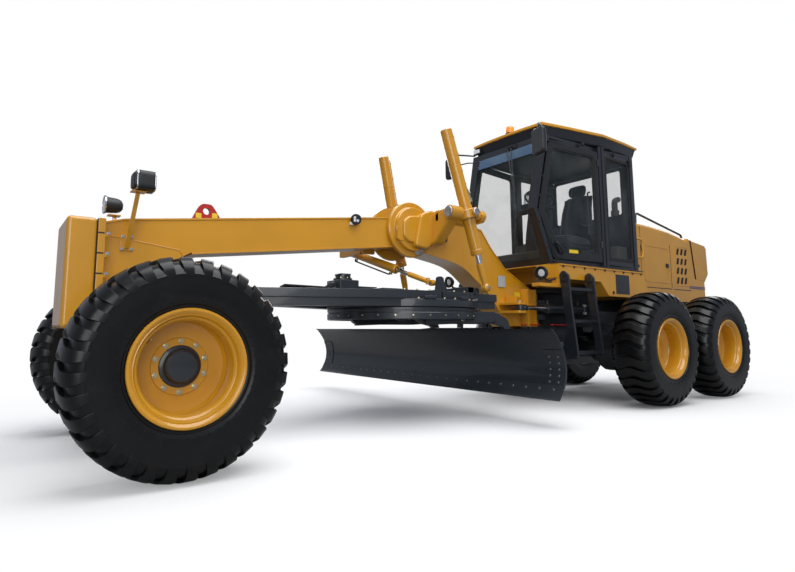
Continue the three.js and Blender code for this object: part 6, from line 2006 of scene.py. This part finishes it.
    def door(self, side, sign):
        shape = Shape()
        outline = rounded([(-7172, 1498), (-7172, 2134), (-6388, 2134), (-6388, 1498)], 22, 4)
        near, far = sorted((sign * 526, sign * 559))
        shape.plate(outline, "Y", near, far, 8)
        bead = rounded([(-7120, 1560), (-7120, 2080), (-6440, 2080), (-6440, 1560)], 60, 5)
        inner = rounded([(-7106, 1574), (-7106, 2066), (-6454, 2066), (-6454, 1574)], 50, 5)
        shape.framed(bead, inner, "Y", *sorted((sign * 556, sign * 563)), 2)
        shape.piece(f"hood_panel_{side}", f"hood_door_{side}", "yellow", f"hood_door_{side}")
        latch = Shape()
        latch.brick((-7110, sign * 566 - 8, 1790), (-7040, sign * 566 + 8, 1850), 6)
        latch.brick((-7096, sign * 572 - 5, 1806), (-7054, sign * 572 + 5, 1834), 3)
        for z in (1560, 1980):
            latch.bar((-6392, sign * 550, z), (-6392, sign * 550, z + 90), 12, 24, bevel=2)
        latch.piece(f"hood_latch_{side}", f"hood_door_{side}", "black")


# ---- rear frame ----------------------------------------------------------------------------------
class GRADER_OT_rear(bpy.types.Operator):
    """Builds the rear frame, the tandem cases with their caps, and the engine under the hood"""
    bl_idname = "grader.rear"
    bl_label = "Rear frame and tandem"

    AXLE = (-6340, WHEEL_RADIUS)
    CASE_HALF = 770         # from the case's pivot to the caps at its two ends

    def execute(self, context):
        softened("rear_frame", 6).piece("rear_rails", REAR, "slate", "rear_frame")
        softened("tandem_axle", 6).piece("tandem_cases", REAR, "black", "tandem_axle")
        softened("engine", 8).piece("engine_block", REAR, "iron", "engine")
        self.case_details()
        self.frame_details()
        return {"FINISHED"}

    def case_details(self):
        x, z = self.AXLE
        caps = Shape()
        bolts = Shape()
        for side in (1, -1):
            for place in (x + self.CASE_HALF, x - self.CASE_HALF):
                caps.turned([(0, 0), (0, 22), (200, 22), (216, 14), (220, 0)], (place, side * 698, z),
                            (0, side, 0), 48)
                bolts.bolt_ring((place, side * 719, z), (0, side, 0), 186, 12, 13, 10)
                bolts.bolt_ring((place, side * 699, z), (0, side, 0), 262, 12, 11, 9)
            for low, high in ((x - 190, x - 60), (x + 60, x + 190)):
                caps.brick((low, side * 707 - 9, z + 60), (high, side * 707 + 9, z + 200), 6)
            caps.plate(rounded([(x - 160, z + 288), (x + 160, z + 288), (x + 130, z + 322),
                                (x - 130, z + 322)], 12), "Y", side * 590 - 70, side * 590 + 70, 6)
        caps.piece("case_caps", REAR, "black")
        bolts.piece("case_bolts", REAR, "worn")

    def frame_details(self):
        shape = Shape()
        for side in (1, -1):
            for index in range(6):
                shape.bolt((-5260, side * 420, 1000 + index * 80), (1, 0, 0), 13, 9)
            shape.plate(rounded([(-5100, 940), (-4880, 940), (-4880, 1100), (-5100, 1240)], 20), "Y",
                        side * 160 - 8, side * 160 + 8, 4)
            for place in (-8186, -8120):
                shape.brick((place - 8, side * 400 - 60, 960), (place + 8, side * 400 + 60, 1240), 4)
        shape.turned([(0, -8), (62, -8), (66, 0), (66, 18), (50, 26), (0, 26)], (HITCH_X, 0, 1374), (0, 0, 1),
                     40)
        shape.brick((-5220, -255, 700), (-4820, 255, 712), 4)
        shape.piece("rear_plates", REAR, "slate")
        lines = Shape()
        for index in range(4):
            y = -90 + index * 60
            lines.pipe(smooth_line([(-5240, y, 1350), (-5000, y, 1362), (-4800, y, 1356),
                                    (-4790, y * 0.8, 1352)], 3), 13, 10)
        lines.piece("rear_lines", REAR, "seal")
        engine = Shape()
        for side in (1, -1):
            for index in range(6):
                engine.turned([(0, 0), (44, 0), (48, 8), (48, 34), (0, 40)],
                              (-6620 - index * 150, side * 268, 1600), (0, side, 0), 24)
            engine.brick((-7560, side * 290 - 24, 1220), (-6540, side * 290 + 24, 1300), 14)
        engine.turned([(0, 0), (250, 0), (256, 10), (256, 30), (0, 36)], (-6500, 0, 1500), (1, 0, 0), 48)
        engine.piece("engine_details", REAR, "iron")


OPERATORS = (
    GRADER_OT_finishes,
    GRADER_OT_stage,
    GRADER_OT_wheels,
    GRADER_OT_front,
    GRADER_OT_axle,
    GRADER_OT_lift,
    GRADER_OT_blade,
    GRADER_OT_cab,
    GRADER_OT_inside,
    GRADER_OT_deck,
    GRADER_OT_hood,
    GRADER_OT_rear,
)


# ---- panel and registration ----------------------------------------------------------------------
class GRADER_PT_panel(bpy.types.Panel):
    """Shows the settings, and a button for each step that makes pieces, in the order that they are made"""
    bl_idname = "GRADER_PT_panel"
    bl_label = "Motor grader"
    bl_space_type = "VIEW_3D"
    bl_region_type = "UI"
    bl_category = "Grader"

    def draw(self, context):
        for group in ("grader_colours", "grader_wheels", "grader_blade", "grader_stage"):
            section = self.layout.box()
            settings = getattr(context.scene, group)
            for name in settings.bl_rna.properties.keys():
                if name not in ("rna_type", "name"):
                    section.prop(settings, name)
        for operator in OPERATORS:
            self.layout.operator(operator.bl_idname)


GROUPS = {"grader_colours": GraderColours, "grader_wheels": GraderWheels, "grader_blade": GraderBlade,
          "grader_stage": GraderStage}


def register():
    for made in (*GROUPS.values(), *OPERATORS, GRADER_PT_panel):
        bpy.utils.register_class(made)
    for name, group in GROUPS.items():
        setattr(bpy.types.Scene, name, bpy.props.PointerProperty(type=group))


def unregister():
    for name in GROUPS:
        delattr(bpy.types.Scene, name)
    for made in (GRADER_PT_panel, *reversed(OPERATORS), *GROUPS.values()):
        bpy.utils.unregister_class(made)


def main():
    register()
    for operator in OPERATORS:
        group, name = operator.bl_idname.split(".")
        getattr(getattr(bpy.ops, group), name)()


if __name__ == "__main__":
    main()
